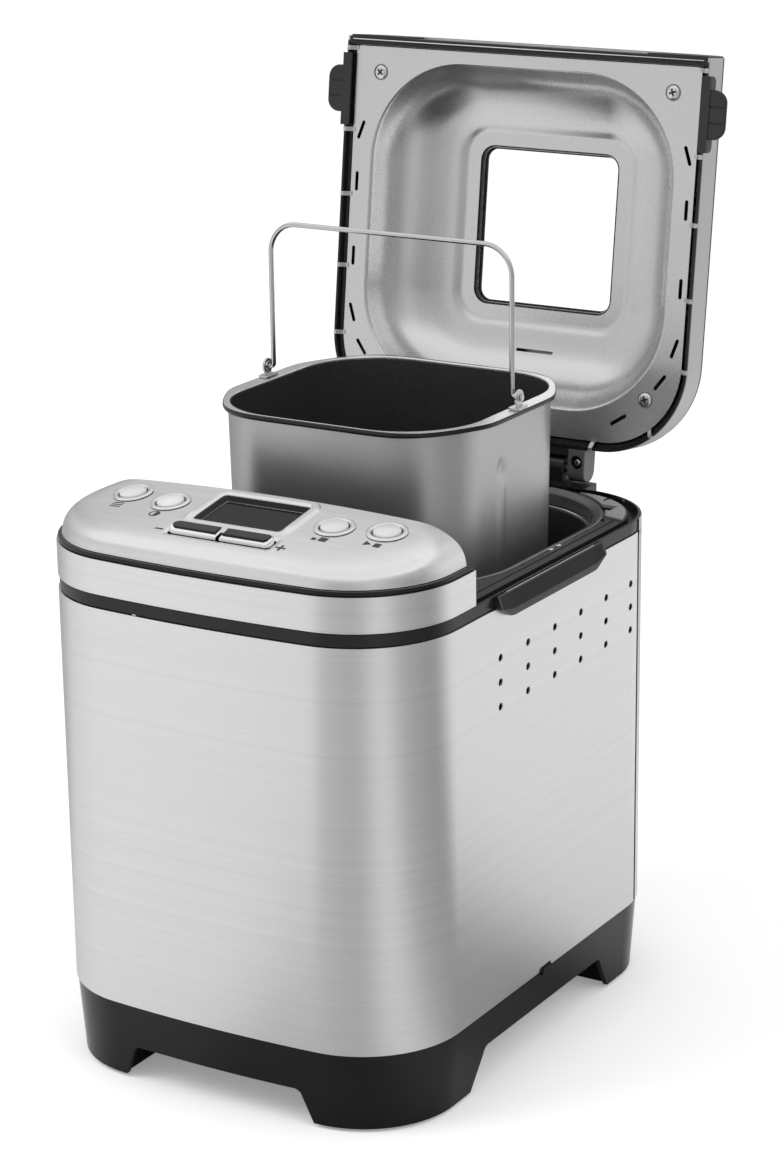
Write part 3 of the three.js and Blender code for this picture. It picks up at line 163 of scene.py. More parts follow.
# Shades round the machine. 0 is behind it, 0.25 its left side, 0.5 the front and 0.75 its right side.
room_shades = [
    (0.00, 0.55), (0.10, 0.32), (0.21, 0.46), (0.30, 0.74), (0.40, 0.80),
    (0.46, 0.76), (0.50, 0.50), (0.57, 0.44), (0.63, 0.70), (0.70, 0.40),
    (0.78, 0.30), (0.86, 0.88), (0.95, 0.92), (1.00, 0.55),
]


def room_tone(tree, x, y):
    turn = maths(tree, "ARCTAN2", x, maths(tree, "MULTIPLY", y, -1.0))
    share = maths(tree, "MULTIPLY_ADD", turn, 0.5 / math.pi, 0.5)
    return ramp(tree, share, room_shades, "EASE")


def seen_plainly(tree, path):
    """1 for rays that come from the camera, straight or through the glass."""
    return maths(tree, "MAXIMUM", path["Is Camera Ray"], path["Is Transmission Ray"])


def make_world():
    world = bpy.data.worlds.new("studio")
    world.use_nodes = True
    tree = world.node_tree
    tree.nodes.clear()
    direction = node(tree, "ShaderNodeTexCoord").outputs["Generated"]
    split = node(tree, "ShaderNodeSeparateXYZ", {0: direction}).outputs
    round_the_room = room_tone(tree, split["X"], split["Y"])
    height = maths(tree, "MULTIPLY_ADD", split["Z"], 0.5, 0.5)
    overhead = ramp(tree, height, [(0.52, 0.0), (0.70, 0.55), (0.86, 1.0)], "EASE")
    ceiling = ramp(tree, height, [(0.50, 0.55), (0.72, 0.62), (0.84, 1.05), (1.0, 0.9)], "EASE")
    path = node(tree, "ShaderNodeLightPath").outputs
    seen = mix(tree, path["Is Glossy Ray"], ray_grey, mix(tree, overhead, round_the_room, ceiling))
    shade = mix(tree, seen_plainly(tree, path), seen, white)
    background = node(tree, "ShaderNodeBackground", {"Color": shade})
    node(tree, "ShaderNodeOutputWorld", {"Surface": background.outputs[0]})
    bpy.context.scene.world = world


def make_floor():
    mesh = bpy.data.meshes.new("floor")
    half = 6
    corners = [(-half, -half, 0), (half, -half, 0), (half, half, 0), (-half, half, 0)]
    mesh.from_pydata(corners, [], [(0, 1, 2, 3)])
    floor = linked(mesh, "floor")
    material, tree = new_material("floor_card")
    here = node(tree, "ShaderNodeNewGeometry").outputs["Position"]
    place = node(tree, "ShaderNodeSeparateXYZ", {0: here}).outputs
    path = node(tree, "ShaderNodeLightPath").outputs
    mirrored = maths(tree, "SUBTRACT", path["Is Glossy Ray"], path["Is Transmission Ray"])
    mirrored = maths(tree, "MAXIMUM", mirrored, 0.0)
    colour = mix(tree, mirrored, card_grey, room_tone(tree, place["X"], place["Y"]))
    card = node(tree, "ShaderNodeBsdfDiffuse", {"Color": colour})
    strength = maths(tree, "MULTIPLY", seen_plainly(tree, path), card_lift)
    lift = node(tree, "ShaderNodeEmission", {"Color": white, "Strength": strength})
    paper = node(tree, "ShaderNodeAddShader", {0: card.outputs[0], 1: lift.outputs[0]})
    node(tree, "ShaderNodeOutputMaterial", {"Surface": paper.outputs[0]})
    mesh.materials.append(material)


make_world()
make_floor()
print("studio made")

# %% [markdown]
# ## Two soft lamps
#
# One large area lamp high on the left in front gives the soft main light, and a weaker one on the
# right keeps the shaded side open. Large lamps make soft shadows. Their power is low, so that a
# white cap on the panel comes out white and not burnt.

# %% Lamps
def soft_lamp(name, place, target, size, power):
    data = bpy.data.lights.new(name, "AREA")
    data.shape = "DISK"
    data.size = size
    data.energy = power
    lamp = linked(data, name)
    lamp.location = place
    lamp.rotation_euler = (Vector(target) - Vector(place)).to_track_quat("-Z", "Y").to_euler()
    lamp.visible_glossy = False


soft_lamp("key_lamp", (-1.5, -1.6, 2.3), (0, 0, 0.2), 1.6, 24)
soft_lamp("fill_lamp", (1.9, -0.6, 1.8), (0, 0, 0.2), 1.4, 9)
print("two lamps")

# %% [markdown]
# ## Brushed steel
#
# The wrap is drawn through an abrasive belt, which leaves thousands of fine level scratches. The
# grain could be a picture, but noise stretched a few hundred times along the brushing direction
# gives the same look at any size. It moves the colour a little, the roughness more, and a faint
# bump breaks up the mirror. Anisotropy spreads highlights across the grain.

# %% Steel finishes
def surface(tree, **inputs):
    """A Principled surface wired to the output; plain values land on the sockets themselves."""
    names = {key.replace("_", " ").title().replace("Ior", "IOR"): value for key, value in inputs.items()}
    shader = node(tree, "ShaderNodeBsdfPrincipled", names)
    node(tree, "ShaderNodeOutputMaterial", {"Surface": shader.outputs[0]})
    return shader


def position(tree, scale=(1, 1, 1), tip=0.0):
    """Object coordinates, first tipped about X where a piece was made level and then turned up."""
    here = node(tree, "ShaderNodeTexCoord").outputs["Object"]
    if tip:
        here = node(tree, "ShaderNodeVectorRotate", {"Vector": here, "Angle": tip},
                    rotation_type="X_AXIS").outputs["Vector"]
    return node(tree, "ShaderNodeMapping", {"Vector": here, "Scale": scale}).outputs["Vector"]


def noise(tree, scale, detail=2.0, vector=None, roughness=0.5):
    vector = vector or position(tree)
    made = node(tree, "ShaderNodeTexNoise",
                {"Vector": vector, "Scale": scale, "Detail": detail, "Roughness": roughness})
    return made.outputs["Fac"]


def between(tree, factor, low, high):
    made = node(tree, "ShaderNodeMapRange", {"Value": factor, "From Min": 0.25, "From Max": 0.75,
                "To Min": low, "To Max": high})
    return made.outputs["Result"]


def tinted(tree, factor, dark, light):
    return mix(tree, factor, (*dark, 1), (*light, 1))


def greyed(tree, factor, shade, below, above):
    return tinted(tree, between(tree, factor, 0.0, 1.0), (shade - below,) * 3, (shade + above,) * 3)


def roughened(tree, fine, low, high, broad, swing):
    """A roughness between two values by a fine noise, moved up and down a little by a broad one."""
    return maths(tree, "ADD", between(tree, fine, low, high), between(tree, broad, -swing, swing))


def bump(tree, height, strength, distance):
    made = node(tree, "ShaderNodeBump", {"Height": height, "Strength": strength, "Distance": distance})
    return made.outputs["Normal"]


def brushed_steel(name, stretch, turn_axis, turn, shade=0.80, grain_depth=1.0, tip=0.0):
    material, tree = new_material(name)
    fine = noise(tree, 1.0, 3.0, position(tree, stretch, tip), 0.62)
    broad = noise(tree, 1.0, 2.0, position(tree, tuple(value * 0.16 for value in stretch), tip))
    cloud = noise(tree, 9.0, 1.0)
    grain = maths(tree, "MULTIPLY_ADD", broad, 0.45, maths(tree, "MULTIPLY", fine, 0.55))
    tangent = node(tree, "ShaderNodeTangent", direction_type="RADIAL", axis=turn_axis).outputs[0]
    surface(tree, base_color=greyed(tree, grain, shade, 0.06, 0.05), metallic=1.0,
            roughness=roughened(tree, grain, 0.27, 0.37, cloud, 0.02),
            anisotropic=0.55, anisotropic_rotation=turn, tangent=tangent,
            normal=bump(tree, grain, 0.05 * grain_depth, 0.0006))
    return material


wall_steel = brushed_steel("wall_steel", (3, 3, 1500), "Z", 0.25)
band_steel = brushed_steel("band_steel", (3, 3, 1500), "Z", 0.25, shade=0.81)
panel_steel = brushed_steel("panel_steel", (4, 1300, 1300), "X", 0.0, shade=0.80, grain_depth=0.8)
cover_steel = brushed_steel("cover_steel", (4, 1300, 1300), "X", 0.0, shade=0.80)
lid_open = 97.2
# The lid's band is the same brushed steel, given a darker colour: painted shade for the band turned away from
# the light.
shaded_rim_steel = brushed_steel("shaded_rim_steel", (3, 3, 1500), "Y", 0.25, shade=0.53, tip=math.radians(lid_open))
print("steel finishes", wall_steel.name, panel_steel.name)

# %% [markdown]
# ## Pressed sheet, pan coating, plastic and the small finishes
#
# The lid's liner is aluminium sheet with a fine matt tooth from the mill. The pan is coated inside
# with a dark non-stick layer that sparkles a little, and outside with a grey metallic one. The black
# plastics are moulded: glossy ones ripple slightly, satin ones have a fine spark-eroded texture.
# Each is one function of a few values, so variants stay alike.

# %% Metals
def rolled_sheet(name, shade, roughness, tooth):
    material, tree = new_material(name)
    speck = noise(tree, 2600.0)
    cloud = noise(tree, 14.0)
    surface(tree, base_color=greyed(tree, cloud, shade, 0.025, 0.02), metallic=1.0,
            roughness=roughened(tree, speck, roughness - 0.04, roughness + 0.05, cloud, 0.03),
            normal=bump(tree, speck, tooth, 0.0004))
    return material


def bright_plate(name, shade, roughness):
    material, tree = new_material(name)
    handling = noise(tree, 90.0, 3.0)
    surface(tree, base_color=greyed(tree, handling, shade, 0.02, 0.02), metallic=1.0,
            roughness=between(tree, handling, roughness, roughness + 0.06),
            normal=bump(tree, handling, 0.02, 0.0005))
    return material


def coated(name, colour, metallic, roughness, sparkle, tooth):
    material, tree = new_material(name)
    fleck = noise(tree, 3200.0, 1.0)
    drift = noise(tree, 20.0)
    lighter = tuple(value * sparkle for value in colour)
    tint = tinted(tree, ramp(tree, fleck, [(0.50, 0.0), (0.72, 1.0)]), colour, lighter)
    surface(tree, base_color=tint, metallic=metallic, normal=bump(tree, fleck, tooth, 0.0004),
            roughness=roughened(tree, fleck, roughness - 0.03, roughness + 0.04, drift, 0.03))
    return material


liner_sheet = rolled_sheet("liner_sheet", 0.68, 0.27, 0.06)
# The chamber's sheet is far darker than bare zinc: painted shade for the inside of the well, where little
# light reaches.
shaded_chamber_sheet = rolled_sheet("shaded_chamber_sheet", 0.24, 0.45, 0.08)
zinc_sheet = rolled_sheet("zinc_sheet", 0.60, 0.46, 0.10)
cast_metal = rolled_sheet("cast_metal", 0.55, 0.42, 0.16)
bronze_metal = coated("bronze_metal", (0.42, 0.27, 0.12), 1.0, 0.38, 1.25, 0.08)
wire_steel = bright_plate("wire_steel", 0.62, 0.16)
ear_steel = bright_plate("ear_steel", 0.60, 0.24)
screw_plate = bright_plate("screw_plate", 0.74, 0.2)
key_chrome = bright_plate("key_chrome", 0.86, 0.07)
pan_outside = coated("pan_outside", (0.50, 0.50, 0.50), 0.9, 0.36, 1.2, 0.10)
pan_inside = coated("pan_inside", (0.030, 0.030, 0.032), 0.35, 0.34, 3.0, 0.16)
pan_rim = coated("pan_rim", (0.007, 0.007, 0.0075), 0.2, 0.2, 2.0, 0.05)
pan_flange = rolled_sheet("pan_flange", 0.84, 0.26, 0.04)
print("metals made")

# %% Plastics, glass and the rest
def moulded(name, colour, roughness, tooth, fine=1800.0, ripple=0.01, shine=0.5):
    material, tree = new_material(name)
    grain = noise(tree, fine)
    wave = noise(tree, 26.0, 1.0)
    lighter = tuple(value * 1.22 + 0.002 for value in colour)
    tint = tinted(tree, between(tree, wave, 0.0, 1.0), colour, lighter)
    spread = roughened(tree, grain, roughness - 0.03, roughness + 0.03, wave, 0.015)
    eroded = bump(tree, grain, tooth, 0.0003)
    waved = node(tree, "ShaderNodeBump", {"Height": wave, "Strength": ripple, "Distance": 0.002,
                 "Normal": eroded}).outputs["Normal"]
    surface(tree, base_color=tint, metallic=0.0, roughness=spread, normal=waved, specular_ior_level=shine)
    return material


def clear_glass():
    material, tree = new_material("window_clear")
    smear = noise(tree, 30.0)
    surface(tree, base_color=white, roughness=0.0, ior=1.12, transmission_weight=1.0,
            normal=bump(tree, smear, 0.004, 0.0005))
    return material


def circuit_board():
    material, tree = new_material("circuit_board")
    place = position(tree)
    tracks = node(tree, "ShaderNodeTexBrick", {"Vector": place, "Scale": 60.0, "Mortar Size": 0.04,
                  "Color1": (0.02, 0.11, 0.04, 1), "Color2": (0.03, 0.15, 0.05, 1),
                  "Mortar": (0.10, 0.22, 0.07, 1)}).outputs["Color"]
    surface(tree, base_color=tracks, metallic=0.0,
            roughness=between(tree, noise(tree, 300.0, vector=place), 0.3, 0.5))
    return material


gloss_black = moulded("gloss_black", (0.003, 0.003, 0.0032), 0.10, 0.01, ripple=0.03, shine=0.32)
band_black = moulded("band_black", (0.008, 0.008, 0.0085), 0.20, 0.03, shine=0.34)
satin_black = moulded("satin_black", (0.011, 0.011, 0.0115), 0.32, 0.10)
deck_black = moulded("deck_black", (0.012, 0.012, 0.0125), 0.40, 0.12)
grip_black = moulded("grip_black", (0.013, 0.013, 0.0135), 0.40, 0.16)
foot_rubber = moulded("foot_rubber", (0.018, 0.018, 0.02), 0.78, 0.3, fine=900.0)
belt_rubber = moulded("belt_rubber", (0.012, 0.012, 0.012), 0.7, 0.4, fine=700.0)
# The well's lip is black plastic lightened to grey: a painted highlight for the sheen on its sloping ring.
lip_sheen_grey = moulded("lip_sheen_grey", (0.12, 0.12, 0.121), 0.20, 0.04)
pad_black = moulded("pad_black", (0.09, 0.09, 0.091), 0.24, 0.04)
cap_grey = moulded("cap_grey", (0.30, 0.30, 0.302), 0.26, 0.05)
# A darker, duller black for the handles' upper facets: painted shade, so they look darker than the lower
# facets.
shade_slope_black = moulded("shade_slope_black", (0.007, 0.007, 0.0073), 0.34, 0.10, shine=0.12)
pearl_cap = moulded("pearl_cap", (0.60, 0.60, 0.595), 0.20, 0.02)
display_black = moulded("display_black", (0.003, 0.003, 0.0033), 0.08, 0.0, shine=0.16)
symbol_ink = moulded("symbol_ink", (0.02, 0.02, 0.02), 0.45, 0.05)
window_clear = clear_glass()
board_green = circuit_board()
print("plastics, glass and board made")

# %% [markdown]
# ## Mesh helpers
#
# Most pieces are skins over a stack of outlines, or turned profiles, or bars along a path. The
# helpers pass a shape on as a pair of points and faces. They take millimetres, because the machine's
# sizes are easier to read that way, and make an object in metres that already rides on its body.
# Smooth shading with sharp edges kept by angle gives round faces that shine evenly and flat faces
# that stay flat.

# %% Objects from shapes
SIDES = ((-1, "left"), (1, "right"))


def box_of(name):
    low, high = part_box(name)
    return np.array(low) * 1000, np.array(high) * 1000


def mesh_object(name, shape):
    mesh = bpy.data.meshes.new(name)
    points, faces = shape
    metres = [tuple(value / 1000 for value in point) for point in points]
    mesh.from_pydata(metres, [], [tuple(face) for face in faces])
    work = bmesh.new()
    work.from_mesh(mesh)
    bmesh.ops.remove_doubles(work, verts=work.verts, dist=1e-7)
    bmesh.ops.recalc_face_normals(work, faces=work.faces)
    if work.calc_volume(signed=True) < 0:
        bmesh.ops.reverse_faces(work, faces=work.faces)
    work.to_mesh(mesh)
    work.free()
    return linked(mesh, name)


def smooth(obj, sharp=32, weighted=True):
    obj.data.shade_smooth()
    obj.data.set_sharp_from_angle(angle=math.radians(sharp))
    if weighted:
        obj.modifiers.new("even shading", "WEIGHTED_NORMAL").keep_sharp = True


def on_body(obj, body, stands_for):
    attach(obj, body)
    if stands_for:
        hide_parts(*stands_for)
    return obj


def piece(name, shape, material, stands_for=(), body="machine", weighted=True):
    obj = mesh_object(name, shape)
    obj.data.materials.append(material)
    smooth(obj, weighted=weighted)
    return on_body(obj, body, stands_for)


def settle(obj):
    """Turns an object's modifiers into its mesh."""
    depsgraph = bpy.context.evaluated_depsgraph_get()
    made = bpy.data.meshes.new_from_object(obj.evaluated_get(depsgraph))
    obj.modifiers.clear()
    obj.data = made


def cut(obj, *shapes):
    """Takes shapes out of an object."""
    helper = mesh_object("cutter", joined(*shapes))
    obj.modifiers.clear()
    modifier = obj.modifiers.new("cut", "BOOLEAN")
    modifier.operation = "DIFFERENCE"
    modifier.solver = "EXACT"
    modifier.use_self = True
    modifier.object = helper
    settle(obj)
    bpy.data.objects.remove(helper)
    smooth(obj)


def soften(obj, width, segments):
    """Rounds the sharp edges of an object by width millimetres."""
    obj.modifiers.clear()
    modifier = obj.modifiers.new("soften", "BEVEL")
    modifier.width = width / 1000
    modifier.segments = segments
    modifier.limit_method = "ANGLE"
    modifier.angle_limit = math.radians(35)
    settle(obj)
    smooth(obj, 40)


print("object helpers ready")

# %% Outlines, skins and bars
def arc(cx, cy, radius, start, stop, steps):
    angles = np.radians(np.linspace(start, stop, steps + 1))
    return [(cx + radius * math.cos(t), cy + radius * math.sin(t)) for t in angles]


def circle(cx, cy, radius, steps):
    return arc(cx, cy, radius, 0, 360, steps)[:-1]


def straight(x, start, stop, steps):
    return [(x, y) for y in np.linspace(start, stop, steps + 1)[1:-1]]


def rounded_box(half_x, low_y, high_y, radius, rear_radius=None, steps=14, side_steps=4):
    rear_radius = radius if rear_radius is None else rear_radius
    return (arc(half_x - radius, low_y + radius, radius, 270, 360, steps)
            + straight(half_x, low_y + radius, high_y - rear_radius, side_steps)
            + arc(half_x - rear_radius, high_y - rear_radius, rear_radius, 0, 90, steps)
            + arc(rear_radius - half_x, high_y - rear_radius, rear_radius, 90, 180, steps)
            + straight(-half_x, high_y - rear_radius, low_y + radius, side_steps)
            + arc(radius - half_x, low_y + radius, radius, 180, 270, steps))


def skin(rings, round_path=True, round_profile=False):
    """A skin over rings of equally many points, with flat ends where it isn't closed."""
    count = len(rings[0])
    total = len(rings) * count
    points = [tuple(p) for ring in rings for p in ring]
    faces = []
    for low in range(0, total if round_profile else total - count, count):
        high = (low + count) % total
        for i in range(count if round_path else count - 1):
            j = (i + 1) % count
            faces.append((low + i, low + j, high + j, high + i))
    if round_path and not round_profile:
        faces.append(tuple(range(count))[::-1])
        faces.append(tuple(range(total - count, total)))
    if round_profile and not round_path:
        faces.append(tuple(range(0, total, count)))
        faces.append(tuple(range(count - 1, total, count))[::-1])
    return points, faces


def tube(rings):
    """A skin closed both ways."""
    return skin(rings, True, True)


def ring_at(outline, z):
    return [(x, y, z) for x, y in outline]


def along(outline_at, profile):
    """Rings for a profile of (inset, height) carried round an outline function."""
    return [ring_at(outline_at(inset), z) for inset, z in profile]


def raised(profile, z):
    return [(reach, z + rise) for reach, rise in profile]


def sheet_along(path_at, profile):
    """A closed profile carried along an open path."""
    return skin(along(path_at, profile), False, True)


def facing(shape, axis):
    """A shape built along Z, set along another axis; its outline is then read as xz or yz."""
    order = {"x": (2, 0, 1), "y": (0, 2, 1), "z": (0, 1, 2)}[axis]
    return [tuple(p[i] for i in order) for p in shape[0]], shape[1]


def prism(outline, low, high, axis="z"):
    return facing(skin([ring_at(outline, low), ring_at(outline, high)]), axis)


def block(x0, x1, y0, y1, z0, z1):
    x0, x1 = sorted((x0, x1))
    return prism([(x0, y0), (x1, y0), (x1, y1), (x0, y1)], z0, z1)


def soft_prism(outline_at, low, high, edge, bottom=True, axis="z"):
    """A slab whose edges are rounded; outline_at(inset) gives its outline."""
    curve = [math.radians(a) for a in np.linspace(0, 90, 5)]
    top = [(edge - edge * math.cos(t), high - edge + edge * math.sin(t)) for t in curve]
    base = [(0, low)]
    if bottom:
        base = [(edge - edge * math.sin(t), low + edge - edge * math.cos(t)) for t in curve]
    return facing(skin(along(outline_at, base + top)), axis)


def turned(profile, steps=48, closed=False):
    """A profile of (radius, height) turned round +Z at the origin."""
    angles = np.linspace(0, 2 * math.pi, steps, endpoint=False)
    rings = [[(r * math.cos(t), r * math.sin(t), z) for t in angles] for r, z in profile]
    return skin(rings, True, closed)


def bar(path, radius, sides, closed=False):
    """A round bar along a path of points in 3D, turned without twist."""
    path = [Vector(p) for p in path]
    angles = np.linspace(0, 2 * math.pi, sides, endpoint=False)
    rings = []
    side = None
    for i, point in enumerate(path):
        before = path[i - 1] if (i or closed) else point
        after = path[(i + 1) % len(path)] if (i + 1 < len(path) or closed) else point
        heading = (after - before).normalized()
        side = side or heading.orthogonal().normalized()
        side = (side - heading * side.dot(heading)).normalized()
        other = heading.cross(side)
        rings.append([tuple(point + radius * (math.cos(t) * side + math.sin(t) * other)) for t in angles])
    return skin(rings, round_profile=closed)


def placed(shape, place, turn=None):
    """A shape turned by a matrix and then moved."""
    turn = np.eye(3) if turn is None else np.array(turn)
    return [tuple(turn @ np.array(p) + np.array(place)) for p in shape[0]], shape[1]


def mirrored(shape, side):
    return [(side * x, y, z) for x, y, z in shape[0]], shape[1]


def joined(*shapes):
    points, faces = [], []
    for more_points, more_faces in shapes:
        faces += [tuple(i + len(points) for i in face) for face in more_faces]
        points += list(more_points)
    return points, faces


print("shape helpers ready")

# %% [markdown]
# ## Where things are
#
# The frame gives the box of every node, so the driving values are read from it: the wrap gives the
# width and the front, the rear panel the back, the bands the levels. The outline is a shallow bow in
# front between two corner arcs, straight sides, and two rear corners. Every cover, band and skirt
# follows it at an inset of its own, so one function gives it at any inset.

# %% Driving values and outlines
wrap_low, wrap_high = box_of("outer_wrap")
band_low, band_high = box_of("housing_band")
half_width = wrap_high[0]
body_front = wrap_low[1]
seam_y = wrap_high[1]
body_rear = box_of("rear_panel")[1][1]
housing_back = band_high[1]
lid_front = housing_back + 1
overhang = 4.4
skirt_top = box_of("base_skirt")[1][2]
band_z = wrap_high[2]
deck_z = band_low[2] - 0.3
shoulder_z = band_high[2]
cover_z = box_of("control_panel")[0][2] - 0.3
pan_y = sum(box_of("drive_shaft"))[1] / 2
hinge_y, hinge_z = (value * 1000 for value in joints["lid_hinge"]["pos_m"][1:])
sheet = 1.2
bow_radius = 869
front_corner = 58.5
rear_corner = 54
rear_corner_x = half_width - rear_corner
rear_corner_y = body_rear - rear_corner

bow_y = body_front + bow_radius
front_corner_x = half_width - front_corner
front_corner_y = bow_y - math.sqrt((bow_radius - front_corner) ** 2 - front_corner_x ** 2)
bow_angle = math.degrees(math.atan2(front_corner_x, bow_y - front_corner_y))


def front_edge(inset):
    corner = max(front_corner - inset, 1.5)
    return (arc(-front_corner_x, front_corner_y, corner, 180, 270 - bow_angle, 22)[:-1]
            + arc(0, bow_y, bow_radius - inset, 270 - bow_angle, 270 + bow_angle, 30)
            + arc(front_corner_x, front_corner_y, corner, 270 + bow_angle, 360, 22)[1:])


def rear_edge(inset):
    corner = max(rear_corner - inset, 2)
    x, y = half_width - inset - corner, body_rear - inset - corner
    return arc(x, y, corner, 0, 90, 24) + arc(-x, y, corner, 90, 180, 24)


def corner_part(inset, start, stop, steps):
    """Part of the right rear corner's arc, by angle."""
    return arc(rear_corner_x, rear_corner_y, rear_corner - inset, start, stop, steps)


def seam_angle(inset, y):
    return math.degrees(math.asin((y - body_rear + rear_corner) / (rear_corner - inset)))


def body_outline(inset):
    return (front_edge(inset) + straight(half_width - inset, front_corner_y, rear_corner_y, 6)
            + rear_edge(inset) + straight(inset - half_width, rear_corner_y, front_corner_y, 6))


def wrap_path(inset):
    """The open path of the steel wrap, from its left seam round the front to its right seam."""
    front = front_edge(inset)
    side = straight(half_width - inset, front_corner_y, rear_corner_y, 6)
    right = front[-1:] + side + corner_part(inset, 0, seam_angle(inset, seam_y - 2), 5)
    return [(-x, y) for x, y in right[:0:-1]] + front[:-1] + right


def rear_path(inset):
    corner = corner_part(inset, seam_angle(inset, seam_y + 0.9), 90, 20)
    return corner + [(-x, y) for x, y in corner[::-1]]


def housing_path(inset, back=housing_back):
    return [(inset - half_width, back)] + front_edge(inset) + [(half_width - inset, back)]


def lid_outline(inset, front):
    return [(inset - half_width, front), (half_width - inset, front)] + rear_edge(inset)


def lid_path(inset, start=lid_front):
    """The lid's open path: right side, rear and left side."""
    return [(half_width - inset, start)] + rear_edge(inset) + [(inset - half_width, start)]


print("half width", round(half_width, 1), "front", round(body_front, 1), "rear", round(body_rear, 1))

# %% [markdown]
# ## The steel wrap and the rear panel
#
# The wrap is one sheet bent round the front and both sides. It could be a plane with a Solidify
# modifier, but a closed profile carried along the outline gives the hems at the top and bottom at
# the same time. The air holes are cut with cylinders. Each hole has a small dished edge, as punched
# sheet has.

# %% Wrap, vents and rear panel
def sheet_profile(low, high):
    edge = 0.3
    return [(sheet, low), (edge, low), (edge * 0.3, low + edge * 0.3), (0, low + edge),
            (0, high - edge), (edge * 0.3, high - edge * 0.3), (edge, high), (sheet, high)]


wall_profile = sheet_profile(skirt_top + 0.3, band_z)
wrap = piece("steel_wrap", sheet_along(wrap_path, wall_profile), wall_steel, ["outer_wrap"])

vent_rows = 3
vent_columns = 6
vent_step_y, vent_step_z = 30.4, 13.75
vent_rear = seam_y - 11.5
vent_top = band_z - 28.2
vent_drill = turned([(2.0, -2.5), (2.0, -0.25), (2.35, 0.02), (2.35, 2)], 28)
vents = []
for side, _ in SIDES:
    for column in range(vent_columns):
        for row in range(vent_rows):
            place = (side * half_width, vent_rear - column * vent_step_y, vent_top - row * vent_step_z)
            vents.append(placed(vent_drill, place, [[0, 0, side], [0, 1, 0], [-side, 0, 0]]))
cut(wrap, *vents)

rear = piece("steel_back", sheet_along(rear_path, wall_profile), wall_steel, ["rear_panel"])
louvre_low = 197.5
louvre_half = 32.5
louvres = [prism(arc(louvre_half, z, 1.5, -90, 90, 8) + arc(-louvre_half, z, 1.5, 90, 270, 8),
                 body_rear - 5, body_rear + 3, "y") for z in louvre_low + 8 * np.arange(6)]
inlet_x, _, inlet_z = sum(box_of("cord_inlet")) / 2
louvres.append(placed(facing(turned([(6.3, -6), (6.3, 4)], 32), "y"), (inlet_x, body_rear, inlet_z)))
cut(rear, *louvres)
rim_profile = raised([(0.7, -2), (0, -2)], band_z)
rim_profile += raised([(0, -0.9), (0.15, -0.5), (0.55, -0.5), (0.7, -0.9)], deck_z)
piece("steel_back_rim", sheet_along(rear_path, rim_profile), wall_steel)
strip = [corner_part(inset, seam_angle(inset, seam_y - 3), seam_angle(inset, seam_y + 2), 4)
         for inset in (0.75, 2.2)]
strip = prism(strip[0] + strip[1][::-1], skirt_top + 0.4, band_z + 0.2)
for side, word in SIDES:
    piece(f"seam_strip_{word}", mirrored(strip, side), satin_black)
print("wrap", len(wrap.data.polygons), "faces, back", len(rear.data.polygons))

# %% [markdown]
# ## The black base
#
# The base is a moulded skirt that tapers a little towards the floor. Arches front, back and sides
# leave four legs. A solid skirt is skinned first, then the arches and the rooms inside are cut out
# of it, and a bevel rounds every edge the way a mould does. It is the glossiest plastic on the
# machine, so the round edges draw thin bright lines.

# %% Base skirt
skirt_wall = 3
skirt_inset = 0.7
skirt_taper = 3.2
leg_bottom = 2
leg_x = 55
arch_front, arch_rear = pan_y - 104.3, pan_y + 33.7
room_low, room_high = 26, 29


def skirt_solid(inset, low, high):
    span = skirt_top - leg_bottom
    return skin(along(body_outline, [(inset + skirt_inset + skirt_taper * (skirt_top - z) / span, z)
                                     for z in (low, high)]))


def arch(low, high, flare, top, axis):
    """A round-cornered arch through the base between two places, wider at the floor."""
    radius = 5
    outline = ([(low - flare, -2), (high + flare, -2)]
               + arc(high - radius + 0.3, top - radius, radius, 12, 90, 6)
               + arc(low + radius - 0.3, top - radius, radius, 90, 168, 6))
    return prism(outline, -300, 300, axis)


skirt = piece("black_base", skirt_solid(0, leg_bottom, skirt_top), gloss_black, ["base_skirt"])
under_room = mesh_object("under_room", skirt_solid(skirt_wall, -4, room_low))
cut(under_room, *[block(side * (leg_x + 8), side * 200, *span, -10, 60)
                  for side, _ in SIDES for span in ((-300, arch_front - 15), (arch_rear + 15, 300))])
cut(skirt, skirt_solid(skirt_wall, room_high, skirt_top + 4), arch(-leg_x, leg_x, 8, 21, "y"))
cut(skirt, arch(arch_front, arch_rear, 15, 24.5, "x"))
cut(skirt, ([tuple(v.co * 1000) for v in under_room.data.vertices],
            [tuple(f.vertices) for f in under_room.data.polygons]))
bpy.data.objects.remove(under_room)
soften(skirt, 1.1, 3)


def base_catch(outline, proud):
    """A small prism on the right side, from its outline of (y, height above the skirt)."""
    return prism([(y, skirt_top + rise) for y, rise in outline], half_width - 1, half_width + proud, "x")


# A flat patch of dull black stands for a notch in the base: painted shade, not a cut.
piece("base_notch", base_catch([(-48, -0.3), (-45.8, 2.7), (-34, 3.0), (-32, -0.3)], 0.12), display_black)
catch_tab = [(-43.5, -2.4), (-42.4, 1.4), (-34.2, 1.7), (-33.2, -2.0)]
piece("base_catch_tab", base_catch(catch_tab, 0.5), gloss_black)
print("base", len(skirt.data.polygons), "faces")

# %% [markdown]
# ## Feet
#
# Each leg stands on a round rubber foot pressed into it. It is a turned profile: a rounded rim that
# meets the worktop and a ring groove that lets the rubber grip.

# %% Feet
PLACES = ("front_right", "front_left", "rear_right", "rear_left")
foot_profile = [(0.01, 4), (9, 4), (9, 1.2), (8.7, 0.5), (8.1, 0.1), (7.2, 0), (5.6, 0), (5.3, 0.5),
                (4.2, 0.5), (3.9, 0), (0.01, 0)]
for place in PLACES:
    foot_x, foot_y, _ = sum(box_of(f"foot_{place}")) / 2
    foot = placed(turned(foot_profile, 40), (foot_x, foot_y, 0))
    piece(f"rubber_foot_{place}", foot, foot_rubber, [f"foot_{place}"])
print("four feet")

